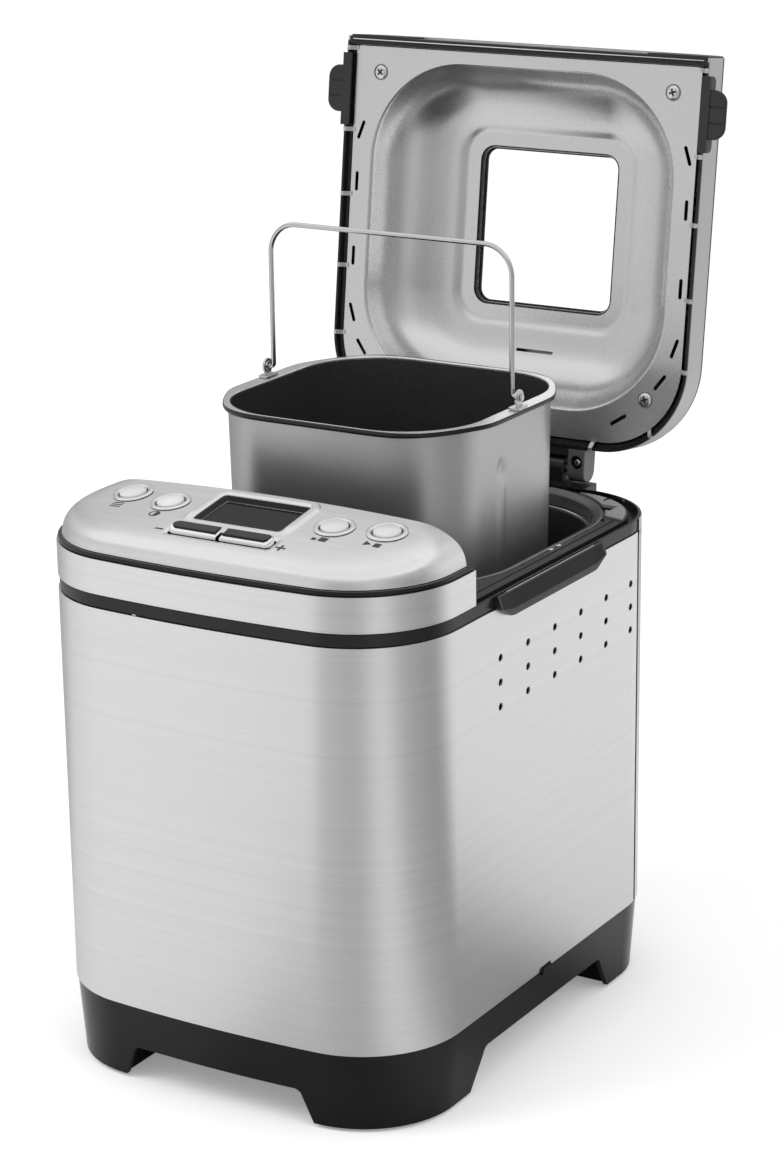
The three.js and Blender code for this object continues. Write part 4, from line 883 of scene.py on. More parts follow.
# %% [markdown]
# ## The deck
#
# The deck is the black moulding between the wrap and the well. Looked at closely it is several
# forms: a band on top of the wrap, a channel the lid drops into, a flat platform with a groove and
# air slots, and a sloping lip round the well. Each form is a skin of its own; they meet inside the
# plastic, where no seam shows.

# %% Deck band, channel and platform
band_inset = 0.8
channel_wall = 1.6
platform_inset = 6.0
well_half_width = half_width - 22
well_half_length = 104.3
well_radius = 61
chamber_top = deck_z - 9


def well_outline(grow, steps=14):
    return rounded_box(well_half_width + grow, pan_y - well_half_length - grow,
                       pan_y + well_half_length + grow, well_radius + grow, steps=steps)


def platform_outline(inset):
    front = lid_front + 3.3 + inset - platform_inset
    return ([(inset - half_width, front), (half_width - inset, front)]
            + [(x, y - 4) for x, y in rear_edge(inset)])


def lipped(outer, inner, low, high, edge):
    """A wall profile between two insets, with its four edges rounded."""
    k = 0.3 * edge
    return [(inner - edge, low), (outer + edge, low), (outer + k, low + k), (outer, low + edge),
            (outer, high - edge), (outer + k, high - k), (outer + edge, high),
            (inner - edge, high), (inner - k, high - k), (inner, high - edge),
            (inner, low + edge), (inner - k, low + k)]


band = lipped(band_inset, band_inset + channel_wall, band_z + 0.3, deck_z, 0.6)
piece("deck_band", tube(along(body_outline, band)), band_black)

channel_outline = [(x, y + 4) if y > housing_back + 10 else (x, housing_back - 8)
                   for x, y in platform_outline(band_inset + channel_wall - 0.4)]
channel = piece("deck_channel", prism(channel_outline, band_z + 0.3, deck_z - 5), deck_black)
cut(channel, prism(well_outline(1), 0, 400))

platform = prism(platform_outline(platform_inset), band_z, deck_z)
platform = piece("deck_platform", platform, deck_black, ["deck_frame"])
groove_inset, groove_wide, groove_deep = 11.2, 0.9, 0.8
groove_profile = [(groove_inset, deck_z - groove_deep), (groove_inset + groove_wide, deck_z - groove_deep),
                  (groove_inset + groove_wide, deck_z + 2), (groove_inset, deck_z + 2)]
groove = tube(along(platform_outline, groove_profile))
cut(platform, prism(well_outline(4), 0, 400), groove)
slot_x = half_width - 16.4
slot_half = 9
slots = []
for side, _ in SIDES:
    for middle in (pan_y - 44.4, pan_y - 13.7, pan_y + 31.2):
        low, high = middle - slot_half, middle + slot_half
        slots.append([(side * slot_x - 1.1, low), (side * slot_x + 1.1, low + 2),
                      (side * slot_x + 1.1, high), (side * slot_x - 1.1, high - 2)])
    for middle in (pan_y + 62, pan_y + 69):
        slots.append([(side * (slot_x - 4), middle - 2.5), (side * (slot_x + 1), middle - 2.5),
                      (side * (slot_x - 2), middle + 2.5)])
slots = [prism(outline, deck_z - 2.4, deck_z + 3) for outline in slots]
screw_reach = {"front": (97.4, lid_front + 20.6), "rear": (93, body_rear - 33.5)}
screw_places = {}
for place in PLACES:
    end, word = place.split("_")
    x, y = screw_reach[end]
    screw_places[place] = (x if word == "right" else -x, y)
pockets = [block(x - 5.4, x + 5.4, y - 5.4, y + 5.4, deck_z - 1.8, deck_z + 3)
           for x, y in screw_places.values()]
cut(platform, *slots, *pockets)
soften(platform, 0.45, 2)
print("platform", len(platform.data.polygons), "faces")

# %% Well lip, corner caps and deck screws
lip_profile = raised([(5.6, -1), (5.6, 0.1), (5.2, 0.5), (4.4, 0.5), (1.2, -0.9), (0.3, -1.6), (0.0, -2.4)],
                     deck_z)
lip_profile += raised([(0.0, 0.6), (0.3, 0.3), (2.4, 0.3)], chamber_top)
lip_profile += raised([(2.4, -2.4), (3.2, -1.4)], deck_z)
# The lip's grey colour is a painted highlight on black plastic.
piece("well_lip", tube(along(well_outline, lip_profile)), lip_sheen_grey)


def corner_cap(side, word):
    """A raised pad in the rear corner of the deck, between the well's lip and the channel."""
    well_x, well_y = well_half_width - well_radius, pan_y + well_half_length - well_radius
    outline = (arc(rear_corner_x, rear_corner_y - 4, rear_corner - 7.4, 8, 84, 14)
               + arc(well_x, well_y, well_radius + 7.2, 66, 22, 12))
    cap = piece(f"corner_cap_{word}", mirrored(prism(outline, deck_z - 1, deck_z + 0.9), side), cap_grey)
    x, y = screw_places[f"rear_{word}"]
    cut(cap, block(x - 5, x + 5, y - 5, y + 5, deck_z - 3, deck_z + 4))
    soften(cap, 0.4, 2)
    # A thin black arc on the cap is painted shadow: the shade along the far side of a round boss.
    boss_shadow_arc = [(side * x, y, deck_z + 0.95) for x, y in arc(91, body_rear - 19.5, 5.6, 5, 200, 26)]
    piece(f"cap_swirl_{word}", bar(boss_shadow_arc, 0.55, 8), display_black)


def cross(radius, head, low, high, fit=1.0):
    """The cross of a screw's recess, between two shares of the height of its head."""
    long, wide = radius * 0.56 * fit, radius * 0.14 * fit
    return joined(block(-long, long, -wide, wide, head * low, head * high),
                  block(-wide, wide, -long, long, head * low, head * high))


def screw_piece(name, radius, head, place, body="machine", turn=np.eye(3), stands_for=(), spin=35):
    """A pan-head screw with a cross recess, its seat at z 0 and its head upwards before it is turned."""
    profile = [(0.01, 0), (radius * 0.96, 0), (radius, head * 0.12)]
    profile += [(radius * math.sin(t), head * math.cos(t) * 0.9 + head * 0.1)
                for t in np.radians([82, 70, 55, 38, 20, 2])]
    turn = turn @ np.array(Matrix.Rotation(math.radians(spin), 3, "Z"))
    screw = piece(name, placed(turned(profile, 32), place, turn), screw_plate, stands_for, body=body)
    cut(screw, placed(cross(radius, head, 0.35, 2.0), place, turn))
    # The black cross in the recess is painted shade: the dark of the recess, drawn in black plastic.
    piece(f"{name}_cross", placed(cross(radius, head, 0.2, 0.5, 0.97), place, turn), satin_black, body=body)


for side, word in SIDES:
    corner_cap(side, word)
    for number, y in enumerate((pan_y - 4, pan_y + 5)):
        screw_piece(f"deck_screw_{word}_{number}", 1.8, 0.8, (side * (slot_x + 0.4), y, deck_z))
print("lip, caps and screws")

# %% [markdown]
# ## The carrying handles
#
# A shallow trough hangs on each side of the band, with sloping ends. It is a bar whose section
# shrinks towards the ends, so it is made as a row of sections along Y, then bevelled.

# %% Handles
handle_low, handle_high = box_of("handle_right")
handle_end = 14
handle_drop = 7.6


def handle(side, word):
    wrap_x = half_width + 0.3
    band_x = half_width - band_inset + 0.3
    outer_x, _, top = handle_high
    rings, shade_strips = [], []
    stations = [0, 2, 5, 8, 11, handle_end]
    length = handle_high[1] - handle_low[1]
    for along_side in stations + [length - station for station in reversed(stations)]:
        y = handle_low[1] + along_side
        share = min(along_side, length - along_side, handle_end) / handle_end
        low = band_z - max(min(band_z - handle_low[2], handle_drop * share), 0.05)
        trough = top - 1.6 * min(1, share * 3)
        fold = low + 0.62 * (band_z - low)
        section = [(wrap_x, low), (outer_x - 1.2, low), (outer_x, low + 0.5 * share), (outer_x, fold),
                   (outer_x - 2.6, top - 0.5), (outer_x - 3.0, top), (outer_x - 3.5, top),
                   (outer_x - 3.8, trough), (band_x + 1.2, trough), (band_x + 0.9, top - 0.4),
                   (band_x, top - 0.4), (band_x, band_z + 0.3), (wrap_x, band_z + 0.3)]
        rings.append([(x, y, z) for x, z in section])
        # A thin skin of darker, duller black over the upper facet is painted shade.
        slope = [(outer_x + 0.04, fold + 0.3), (outer_x - 2.5, top - 0.75), (outer_x - 2.8, top - 0.75),
                 (outer_x - 0.3, fold + 0.3)]
        shade_strips.append([(x, y, z) for x, z in slope])
    grip = piece(f"trough_handle_{word}", mirrored(skin(rings), side), satin_black, [f"handle_{word}"])
    soften(grip, 0.35, 2)
    piece(f"handle_slope_{word}", mirrored(skin(shade_strips[1:-1]), side), shade_slope_black)
    # A thin light grey bar along the trough's inner top edge is a painted highlight.
    edge = [(side * (outer_x - 3.25), y, top - 0.05) for y in (handle_low[1] + 10, handle_high[1] - 10)]
    piece(f"handle_edge_{word}", bar(edge, 0.32, 8), cap_grey)


for side, word in SIDES:
    handle(side, word)
print("handles", round(handle_high[1] - handle_low[1], 1), "mm long")

# %% [markdown]
# ## The control housing
#
# The housing is a steel band like the wrap, a black line of plastic on top of it, and the plastic
# wall behind, which fills the space under the steel cover.

# %% Housing band, black line and rear wall
piece("housing_steel", sheet_along(housing_path, sheet_profile(deck_z + 0.3, shoulder_z)),
      band_steel, ["housing_band"])
line_inset = 0.9
trim_low = deck_z + 0.4
trim_profile = [(4.0, trim_low), (1.5, trim_low), (1.5, shoulder_z + 0.2), (1.2, shoulder_z + 0.3),
                (line_inset, shoulder_z + 0.6), (line_inset, cover_z - 0.4),
                (line_inset + 0.4, cover_z), (4.0, cover_z)]
piece("housing_trim", sheet_along(housing_path, trim_profile), gloss_black, ["housing_frame"])

# How the pressed covers rise from their edge, as (distance inside it, height).
shoulder = [(0, 0), (0.7, 4), (2.3, 8), (5.8, 12), (11.3, 15.5), (18.8, 18.5), (28.8, 21), (40.8, 24)]
lid_shoulder = shoulder + [(52, 27.6), (66, 30.4), (84, 33)]
cover_inset = 3.1
cover_start = cover_z + 0.3
crown_fall = 0.00029
panel_slope = 0.165
panel_tilt = math.atan(panel_slope)
ridge_z = 321.7
ridge_y = housing_back - 27.9


def smooth_curve(steps):
    """A smooth rising curve through (x, y) steps, with no overshoot."""
    x, y = (np.array(v, float) for v in zip(*steps))
    slope = np.diff(y) / np.diff(x)
    inner = 2 / (1 / slope[:-1] + 1 / slope[1:])
    ends = np.concatenate([[slope[0] * 1.25], inner, [slope[-1]]])

    def at(value):
        value = np.clip(value, x[0], x[-1])
        k = np.clip(np.searchsorted(x, value) - 1, 0, len(slope) - 1)
        width = x[k + 1] - x[k]
        t = (value - x[k]) / width
        return ((2 * t**3 - 3 * t**2 + 1) * y[k] + (t**3 - 2 * t**2 + t) * width * ends[k]
                + (3 * t**2 - 2 * t**3) * y[k + 1] + (t**3 - t**2) * width * ends[k + 1])
    return at


panel_rise = smooth_curve(shoulder)
lid_rise = smooth_curve(lid_shoulder)


def panel_top(x, y):
    return ridge_z + panel_slope * (y - ridge_y) - crown_fall * x**2


def least(a, b, blend):
    """The lower of two surfaces, with a rounded edge where they cross."""
    return np.minimum(a, b) - blend / 4 * np.maximum(1 - np.abs(a - b) / blend, 0) ** 2


def wall_top(x):
    return panel_top(x, housing_back) - sheet - 0.5


wall_half = half_width - 4
rim_x = half_width - cover_inset - 1.6
shoulder_line = [(rim_x - d, min(cover_z - 1 + panel_rise(d) - 0.6, wall_top(rim_x - d)))
                 for d in np.linspace(0, 38, 24)]
crown_line = [(x, wall_top(x)) for x in np.linspace(74, -74, 30)]
wall_shape = ([(-wall_half, trim_low), (wall_half, trim_low), (wall_half, cover_z)]
              + shoulder_line + crown_line
              + [(-x, z) for x, z in shoulder_line[::-1]] + [(-wall_half, cover_z)])
lower_wall = [(-wall_half, trim_low), (wall_half, trim_low),
              (wall_half, cover_z - 0.3), (-wall_half, cover_z - 0.3)]
wall_y = housing_back - overhang
piece("housing_rear_wall", joined(prism(wall_shape, wall_y - 2.4, wall_y, "y"),
                                  prism(lower_wall, wall_y - 1, housing_back - 0.8, "y")), satin_black)
print("housing", round(shoulder_z - deck_z, 1), "mm of steel band")

# %% [markdown]
# ## Pressed covers
#
# The control panel and the lid are steel covers pressed in a die: a steep shoulder rises from the
# edge and rolls over into a crowned top. A subdivision surface could make that, but holes with clean
# round edges would pinch it. So the cover is a height over the plan: loops of points are laid where
# the form needs them, a triangulation joins them and leaves the holes out, and every point is
# lifted to its height. The true slope at each point is stored as its normal, so the triangles
# never show.

# %% A cover from a height
def inside(points, loop):
    """Which points lie inside a closed loop."""
    x, y = points[:, 0], points[:, 1]
    found = np.zeros(len(points), bool)
    for (x0, y0), (x1, y1) in zip(loop, loop[1:] + loop[:1]):
        crosses = (y0 > y) != (y1 > y)
        with np.errstate(divide="ignore", invalid="ignore"):
            found ^= crosses & (x < (x1 - x0) * (y - y0) / (y1 - y0) + x0)
    return found


def clear_of(points, loops, distance):
    """Which points keep a distance from the corners of some loops."""
    keep = np.ones(len(points), bool)
    for loop in loops:
        keep &= np.linalg.norm(points[:, None] - np.array(loop)[None], axis=2).min(1) > distance
    return keep


def slope_normals(height, x, y, step=0.02):
    along_x = (height(x + step, y) - height(x - step, y)) / (2 * step)
    along_y = (height(x, y + step) - height(x, y - step)) / (2 * step)
    normals = np.stack([-along_x, -along_y, np.ones_like(x)], 1)
    return normals / np.linalg.norm(normals, axis=1)[:, None]


def grid_over(low_x, high_x, low_y, high_y, step):
    return [(x + (step / 2 if k % 2 else 0), y) for k, y in enumerate(np.arange(low_y, high_y, step))
            for x in np.arange(low_x, high_x, step)]


def plan_mesh(edge, rings, holes, grid):
    """Triangles between an edge and some holes, through rings of points and a grid."""
    spots, lines = [], []
    for path, closed in [(loop, 1) for loop in [edge] + holes] + [(ring, 0) for ring in rings]:
        start, count = len(spots), len(path)
        spots += path
        lines += [(start + i, start + (i + 1) % count) for i in range(count - 1 + closed)]
    grid = np.array(grid)
    grid = grid[inside(grid, edge) & clear_of(grid, [edge] + holes + rings, 1.0)]
    spots += [tuple(p) for p in grid]
    found = delaunay_2d_cdt([Vector(p) for p in spots], lines, [], 0, 1e-4)
    plan = np.array([tuple(v) for v in found[0]])
    faces = np.array([f for f in found[2] if len(f) == 3])
    middle = plan[faces].mean(1)
    keep = inside(middle, edge)
    for hole in holes:
        keep &= ~inside(middle, hole)
    used, faces = np.unique(faces[keep], return_inverse=True)
    return plan[used], faces.reshape(-1, 3)


def pressed_cover(name, edge, rings, holes, grid, height, material, stands_for, body="machine", turn=None):
    """A sheet pressed to a height over the plan inside edge, with holes left open."""
    plan, faces = plan_mesh(edge, rings, holes, grid)
    x, y = plan.T
    normals = slope_normals(height, x, y)
    top = np.stack([x, y, height(x, y)], 1)
    count = len(top)
    pairs = [pair for a, b, c in faces.tolist() for pair in ((a, b), (b, c), (c, a))]
    known = set(pairs)
    rims = [(a, b) for a, b in pairs if (b, a) not in known]
    level = np.cross(top[faces[:, 1]] - top[faces[:, 0]], top[faces[:, 2]] - top[faces[:, 0]])[:, 2] > 0
    upper = faces.copy()
    upper[~level] = upper[~level][:, ::-1]
    under = upper[:, ::-1] + count
    walls = [(a, a + count, b + count, b) if level[0] else (b, b + count, a + count, a) for a, b in rims]
    points = np.concatenate([top, top - normals * sheet])
    if turn is not None:
        points = turn(points)
        normals = turn(normals, True)
    mesh = bpy.data.meshes.new(name)
    faces = [tuple(int(i) for i in face) for face in [*upper, *under, *walls]]
    mesh.from_pydata((points / 1000).tolist(), [], faces)
    mesh.shade_smooth()
    mesh.materials.append(material)
    loop_points = np.empty(len(mesh.loops), int)
    mesh.loops.foreach_get("vertex_index", loop_points)
    split = np.concatenate([normals, -normals])[loop_points]
    split[3 * (len(upper) + len(under)):] = 0
    mesh.normals_split_custom_set([tuple(n) for n in split])
    return on_body(linked(mesh, name), body, stands_for)


print("cover helper ready")

# %% [markdown]
# ## The control panel
#
# The panel slopes down towards the front and falls away a little to each side. Its crease against
# the shoulder is sharp at the rear corners and softens towards the front, so the blend grows with
# the distance from the rear edge. A frame is pressed up round the display, and each button stands
# in a round hole with a ring.

# %% Panel forms
button_places = {
    "program": (-(half_width - 39.8), housing_back - 22.3),
    "crust": (-(half_width - 68.3), housing_back - 28),
    "size": (half_width - 68.3, housing_back - 28),
    "start": (half_width - 39.8, housing_back - 22.3),
}
button_radius = 7.9
key_front = housing_back - 61
key_depth = 9.2
key_reach = 31.5
key_y = key_front + key_depth / 2
key_slot = (key_reach + 0.6, key_depth / 2 + 0.6)
lcd_half = 27.6
lcd_half_y = 16
lcd_y = housing_back - 11.4 - lcd_half_y
lcd_front = lcd_y - lcd_half_y


def front_distance(x, y):
    """How far a point lies inside the front edge's outline."""
    x = np.abs(x)
    side = half_width - x
    corner = front_corner - np.hypot(x - front_corner_x, y - front_corner_y)
    bow = bow_radius - np.hypot(x, y - bow_y)
    on_bow = np.arctan2(x, bow_y - y) < math.radians(bow_angle)
    return np.where(on_bow, np.minimum(bow, side), np.where(y < front_corner_y, corner, side))


def box_distance(x, y, half_x, half_y, middle_y, radius):
    """Distance outside a round-cornered box; negative inside it."""
    dx = np.abs(x) - half_x + radius
    dy = np.abs(y - middle_y) - half_y + radius
    return np.hypot(np.maximum(dx, 0), np.maximum(dy, 0)) + np.minimum(np.maximum(dx, dy), 0) - radius


def step_between(value, low, high):
    t = np.clip((value - low) / (high - low), 0, 1)
    return t * t * (3 - 2 * t)


def crease(distance):
    """How wide the shoulder blends into the crown at a distance from the joint of panel and lid."""
    return 1.4 + 7.5 * step_between(distance, 8, 62)


def panel_height(x, y):
    shoulder_height = cover_start + panel_rise(front_distance(x, y) - cover_inset)
    base = least(shoulder_height, panel_top(x, y), crease(housing_back - y))
    frame_gap = box_distance(x, y, lcd_half, lcd_half_y, lcd_y, 2.5)
    fade = step_between(y, lcd_front - 3, lcd_front + 7)
    frame_rise = 1.3 * step_between(-frame_gap, -6.2, -4.0)
    frame_fall = 1 - 0.75 * step_between(-frame_gap, -1.6, -0.2)
    key_gap = box_distance(x, y, *key_slot, key_y, 2.0)
    return base + frame_rise * frame_fall * fade - 0.7 * step_between(-key_gap, -2.4, 0.0)


def loop_round(middle_y, half_x, half_y, radius, grow, steps=5, side_steps=14):
    return rounded_box(half_x + grow, middle_y - half_y - grow, middle_y + half_y + grow, radius + grow,
                       steps=steps, side_steps=side_steps)


panel_holes = [circle(x, y, button_radius + 1.5, 40) for x, y in button_places.values()]
panel_holes += [loop_round(lcd_y, lcd_half, lcd_half_y, 2.5, 0, steps=4),
                loop_round(key_y, *key_slot, 2.4, 0, side_steps=4)]
panel_edge = housing_path(cover_inset, wall_y)
panel_edge += [(x, wall_y) for _, x in straight(0, half_width - cover_inset, cover_inset - half_width, 90)]
ring_insets = [0.12, 0.3, 0.6, 1.0, 1.6, 2.4, 3.4, 4.6, 6.0, 7.6, 9.4, 11.4, 13.6, 16.0]
panel_rings = [housing_path(cover_inset + d, wall_y) for d in ring_insets]
for grow in (0.5, 1.0, 1.6, 2.6, 4.0, 4.7, 5.4, 6.2):
    ring = loop_round(lcd_y, lcd_half, lcd_half_y, 2.5, grow)
    panel_rings.append(ring + ring[:1])
panel_rings += [loop_round(key_y, *key_slot, 2.4, grow) for grow in (0.8, 1.6, 2.4)]
panel_grid = grid_over(-half_width, half_width, body_front, wall_y - 1.2, 2.6)
panel = pressed_cover("steel_panel", panel_edge, panel_rings, panel_holes, panel_grid, panel_height,
                      panel_steel, ["control_panel"])
print("panel", len(panel.data.polygons), "faces")

# %% [markdown]
# ## Buttons and their rings
#
# Each button is a pearl-white cap in a shallow steel ring. The cap is domed only a little and has
# a tight round edge, so it catches one bright crescent. All are turned shapes set square to the
# sloping panel.

# %% Buttons
def on_panel(x, y):
    """The place and turn that set a flat shape square on the panel at x, y."""
    side_tilt = math.atan(2 * crown_fall * x)
    turn = Matrix.Rotation(side_tilt, 3, "Y") @ Matrix.Rotation(panel_tilt, 3, "X")
    return (x, y, panel_top(x, y)), turn


def stem(node_name, place, top, lift):
    """A thin stem from the foot of a node up to a height below the panel."""
    foot = -(place[2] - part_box(node_name)[0][2] * 1000) / math.cos(panel_tilt) + lift
    return turned([(0.01, foot), (2.5, foot), (2.5, top), (0.01, top)], 16)


ring_profile = [(8.25, -4.5), (9.0, -4.5), (9.0, 0.25), (10.6, 0.25), (11.2, 0.32), (11.15, 0.62),
                (10.7, 0.95), (10.0, 1.12), (9.2, 1.1), (8.6, 0.86), (8.25, 0.45)]
cap_profile = [(0.01, -3.5), (7.5, -3.5), (7.5, 0.7), (7.42, 1.1), (7.15, 1.5), (6.6, 1.85), (5.5, 2.15),
               (4.0, 2.4), (2.1, 2.6), (0.01, 2.66)]
for name, (x, y) in button_places.items():
    place, turn = on_panel(x, y)
    piece(f"button_ring_{name}", placed(turned(ring_profile, 56, closed=True), place, turn), panel_steel,
          [f"ring_{name}"])
    cap = joined(turned(cap_profile, 56), stem(f"button_{name}", place, -3, 0.5))
    piece(f"cap_{name}", placed(cap, place, turn), pearl_cap, [f"button_{name}"], body=f"button_{name}")
print("four buttons")

# %% [markdown]
# ## Plus and minus keys
#
# Two bar keys share one slot. Each is a chromed bar whose front edge shows as a bright strip, with
# a black glossy insert on top.

# %% Keys
def key_bar(side, name):
    half_y = key_depth / 2 - 0.3
    start, stop = 1.1, key_reach
    corner = 3.2
    place, turn = on_panel(0, key_y)

    def outline(inset):
        reach = stop - inset
        rear, front = half_y - inset, inset - half_y
        return ([(start + inset, rear), (start + inset, front)]
                + arc(reach - corner, front + corner, corner, 270, 360, 8)
                + arc(reach - corner, rear - corner, corner, 0, 90, 8))

    def sloped(shape, fall):
        """A shape whose front comes down, as the key's does."""
        return [(x, y, z - max(0, 3.4 - y - half_y) * fall if z > 0 else z) for x, y, z in shape[0]], shape[1]

    base = sloped(skin(along(outline, [(0, -3), (0, 1.5), (0.15, 1.85), (0.5, 2.1), (1.0, 2.2)])), 0.5)
    post = placed(stem(f"key_{name}", place, -2.5, 0.6), ((start + stop) / 2, 0, 0))
    insert = soft_prism(lambda inset: [(x, y + 0.9) for x, y in outline(1.1 + inset)], 1.5, 2.6, 0.3)
    for part, shape, finish, stands_for, slot in (
            ("bar", joined(base, post), key_chrome, [f"key_{name}"], "bright_trim"),
            ("top", sloped(insert, 0.35), gloss_black, (), "display_black")):
        piece(f"key_{part}_{name}", placed(mirrored(shape, side), place, turn), finish, stands_for,
              f"key_{name}")


key_bar(1, "plus")
key_bar(-1, "minus")
print("two keys")

# %% [markdown]
# ## The display
#
# The display sits in a sloping black frame under the pressed edge of the panel: walls that lean in,
# a thin grey line round the glass, and a dark glass that mirrors the room.

# %% Display
display_place, display_turn = on_panel(0, lcd_y)
display_half = lcd_half_y / math.cos(panel_tilt)


def display_outline(grow):
    half_y = display_half + grow
    return rounded_box(lcd_half + grow, -half_y, half_y, max(2.5 + grow, 0.8), steps=5)


frame_profile = [(-0.35, -3.9), (-0.35, -0.35), (-0.6, -0.2), (-0.9, -0.25), (-2.6, -2.5), (-2.6, -3.9)]
line_profile = [(-2.5, -2.75), (-2.5, -2.45), (-3.0, -2.4), (-3.1, -2.75)]
glass_profile = [(-2.6, -3.4), (-2.6, -2.6)]
for name, shape, finish, stands_for, slot in (
        ("frame", tube(along(display_outline, frame_profile)), gloss_black, ["lcd_window"], "display_black"),
        ("line", tube(along(display_outline, line_profile)), screw_plate, (), "bright_trim"),
        ("glass", skin(along(display_outline, glass_profile)), display_black, (), "display_black")):
    piece(f"display_{name}", placed(shape, display_place, display_turn), finish, stands_for)
print("display made")

# %% [markdown]
# ## Signs by the buttons
#
# Plain signs stand where a maker prints words: a list for the program, a half-filled round for the
# crust, two squares for the size, a triangle and a square for start and stop, and plus and minus
# by the keys. Each is a flat piece of ink a few hundredths of a millimetre above the steel, laid on
# the panel by the same height that formed it.

# %% Signs
def sign(name, shapes, x, y):
    """Flat shapes drawn in millimetres round the origin, laid on the panel at x, y."""
    inks = []
    for shape in shapes:
        plan = np.array([(x + a, y + b) for a, b in shape])
        heights = panel_height(plan[:, 0], plan[:, 1])
        inks.append(skin([[(a, b, z + lift) for (a, b), z in zip(plan, heights)] for lift in (0.03, 0.07)]))
    piece(name, joined(*inks), symbol_ink, weighted=False)


def square(x0, y0, x1, y1):
    return [(x0, y0), (x1, y0), (x1, y1), (x0, y1)]


def stroke(x0, y0, x1, y1, width=0.7):
    ax, ay = x1 - x0, y1 - y0
    length = math.hypot(ax, ay)
    nx, ny = -ay / length * width / 2, ax / length * width / 2
    return [(x0 + nx, y0 + ny), (x0 - nx, y0 - ny), (x1 - nx, y1 - ny), (x1 + nx, y1 + ny)]


sign_drop = 15.2
sign_scale = 1.3
round_spots = arc(0, 0, 2.2, 0, 360, 20)
signs = {
    "program": [stroke(-2.6, dy, 2.6, dy) for dy in (-1.7, 0, 1.7)],
    "crust": [stroke(*spot, *after, 0.6) for spot, after in zip(round_spots, round_spots[1:])],
    "size": [square(-3.4, -1.2, -1.4, 0.8), square(-0.2, -1.2, 3.4, 2.2)],
    "start": [[(-3.6, -1.9), (-0.4, 0), (-3.6, 1.9)], square(0.8, -1.6, 3.8, 1.6)],
}
signs["crust"].append(arc(0, 0, 2.2, -90, 90, 10))
for name, shapes in signs.items():
    x, y = button_places[name]
    shapes = [[(sign_scale * a, sign_scale * b) for a, b in shape] for shape in shapes]
    sign(f"sign_{name}", shapes, x, y - sign_drop)
sign_x, sign_y = key_reach + 6.5, key_front + 2.4
sign("sign_minus", [stroke(-2.6, 0, 2.6, 0, 1.2)], -sign_x, sign_y)
sign("sign_plus", [stroke(-3, 0, 3, 0, 1.3), stroke(0, -3, 0, 3, 1.3)], sign_x, sign_y)
print("signs", len(signs) + 2)

# %% [markdown]
# ## The lid
#
# The lid stands open, but its parts are easier to describe lying shut. So every lid piece is laid
# out shut and then turned about the hinge's axis before its mesh is made. The lid is a black
# moulded frame with a steel band round it, a pressed steel dome on top, and a pressed aluminium
# liner below.

# %% Turning the lid open
lid_turn = np.array(Matrix.Rotation(math.radians(-lid_open), 3, "X"))
hinge_axis = np.array((0, hinge_y, hinge_z))
lid_bottom = deck_z + 0.8
liner_z = deck_z + 4.0


def opened(points, directions=False):
    points = np.asarray(points, float)
    if directions:
        return points @ lid_turn.T
    return (points - hinge_axis) @ lid_turn.T + hinge_axis


def opened_shape(shape):
    return [tuple(p) for p in opened(shape[0])], shape[1]


def lid_piece(name, shape, material, stands_for=()):
    return piece(name, opened_shape(shape), material, stands_for, "lid")


def lid_screw(name, radius, head, place, stands_for=(), spin=35):
    """A screw whose head looks down when the lid is shut."""
    turn = lid_turn @ np.array(Matrix.Rotation(math.pi, 3, "X"))
    screw_piece(name, radius, head, tuple(opened([place])[0]), "lid", turn, stands_for, spin)


print("lid turns about y", round(hinge_y, 1), "z", round(hinge_z, 1))

# %% [markdown]
# ## Band, frame and front wall of the lid
#
# The frame's lip drops into the deck's channel when the lid is shut, and keeps the steam in. In
# front the frame closes the space below the dome, with a bright strip of the dome's sheet folded
# over its middle.

# %% Band, frame and front wall of the lid
lid_piece("lid_steel_band", sheet_along(lid_path, sheet_profile(lid_bottom + 0.9, shoulder_z)),
          shaded_rim_steel, ["lid_band"])
gap_floor = lid_bottom + 4.6
frame_steps = [(4.0, 5.4, gap_floor), (2.2, 5.2, gap_floor - 0.4), (1.9, 5.0, lid_bottom + 0.4),
               (1.7, 4.8, lid_bottom - 0.2), (0.5, 3.2, lid_bottom - 0.2), (0.3, 3.0, lid_bottom),
               (0.3, 2.7, lid_bottom + 0.7), (1.3, 2.5, lid_bottom + 0.8), (1.5, 0.5, lid_bottom + 0.8),
               (1.5, 0.0, lid_bottom + 1.2), (1.5, 0.0, shoulder_z + 0.2), (0.7, 0.0, shoulder_z + 0.3),
               (0.5, 0.0, shoulder_z + 0.6), (0.5, 0.0, cover_z - 0.3), (0.8, 0.3, cover_z),
               (5.5, 2.6, cover_z), (5.5, 5.4, gap_floor + 2)]
frame_rings = [ring_at(lid_outline(inset, lid_front + back), z) for inset, back, z in frame_steps]
lid_piece("lid_black_frame", tube(frame_rings), band_black, ["lid_frame"])
lid_length = body_rear - lid_front
lid_reach = 0.9
dome_start = lid_front - lid_reach
dome_crown = 40
front_wall_low = cover_z + 0.8
front_wall_half = half_width - cover_inset - 1.8


def lid_top(x, y):
    share = (y - dome_start) / lid_length
    return panel_top(0, housing_back) + dome_crown * share * (1 - share) - crown_fall * x**2


def under_dome(x):
    rise = cover_z + lid_rise(half_width - cover_inset - abs(x))
    return max(min(rise, lid_top(x, lid_front)) - sheet - 0.4, front_wall_low + 0.1)


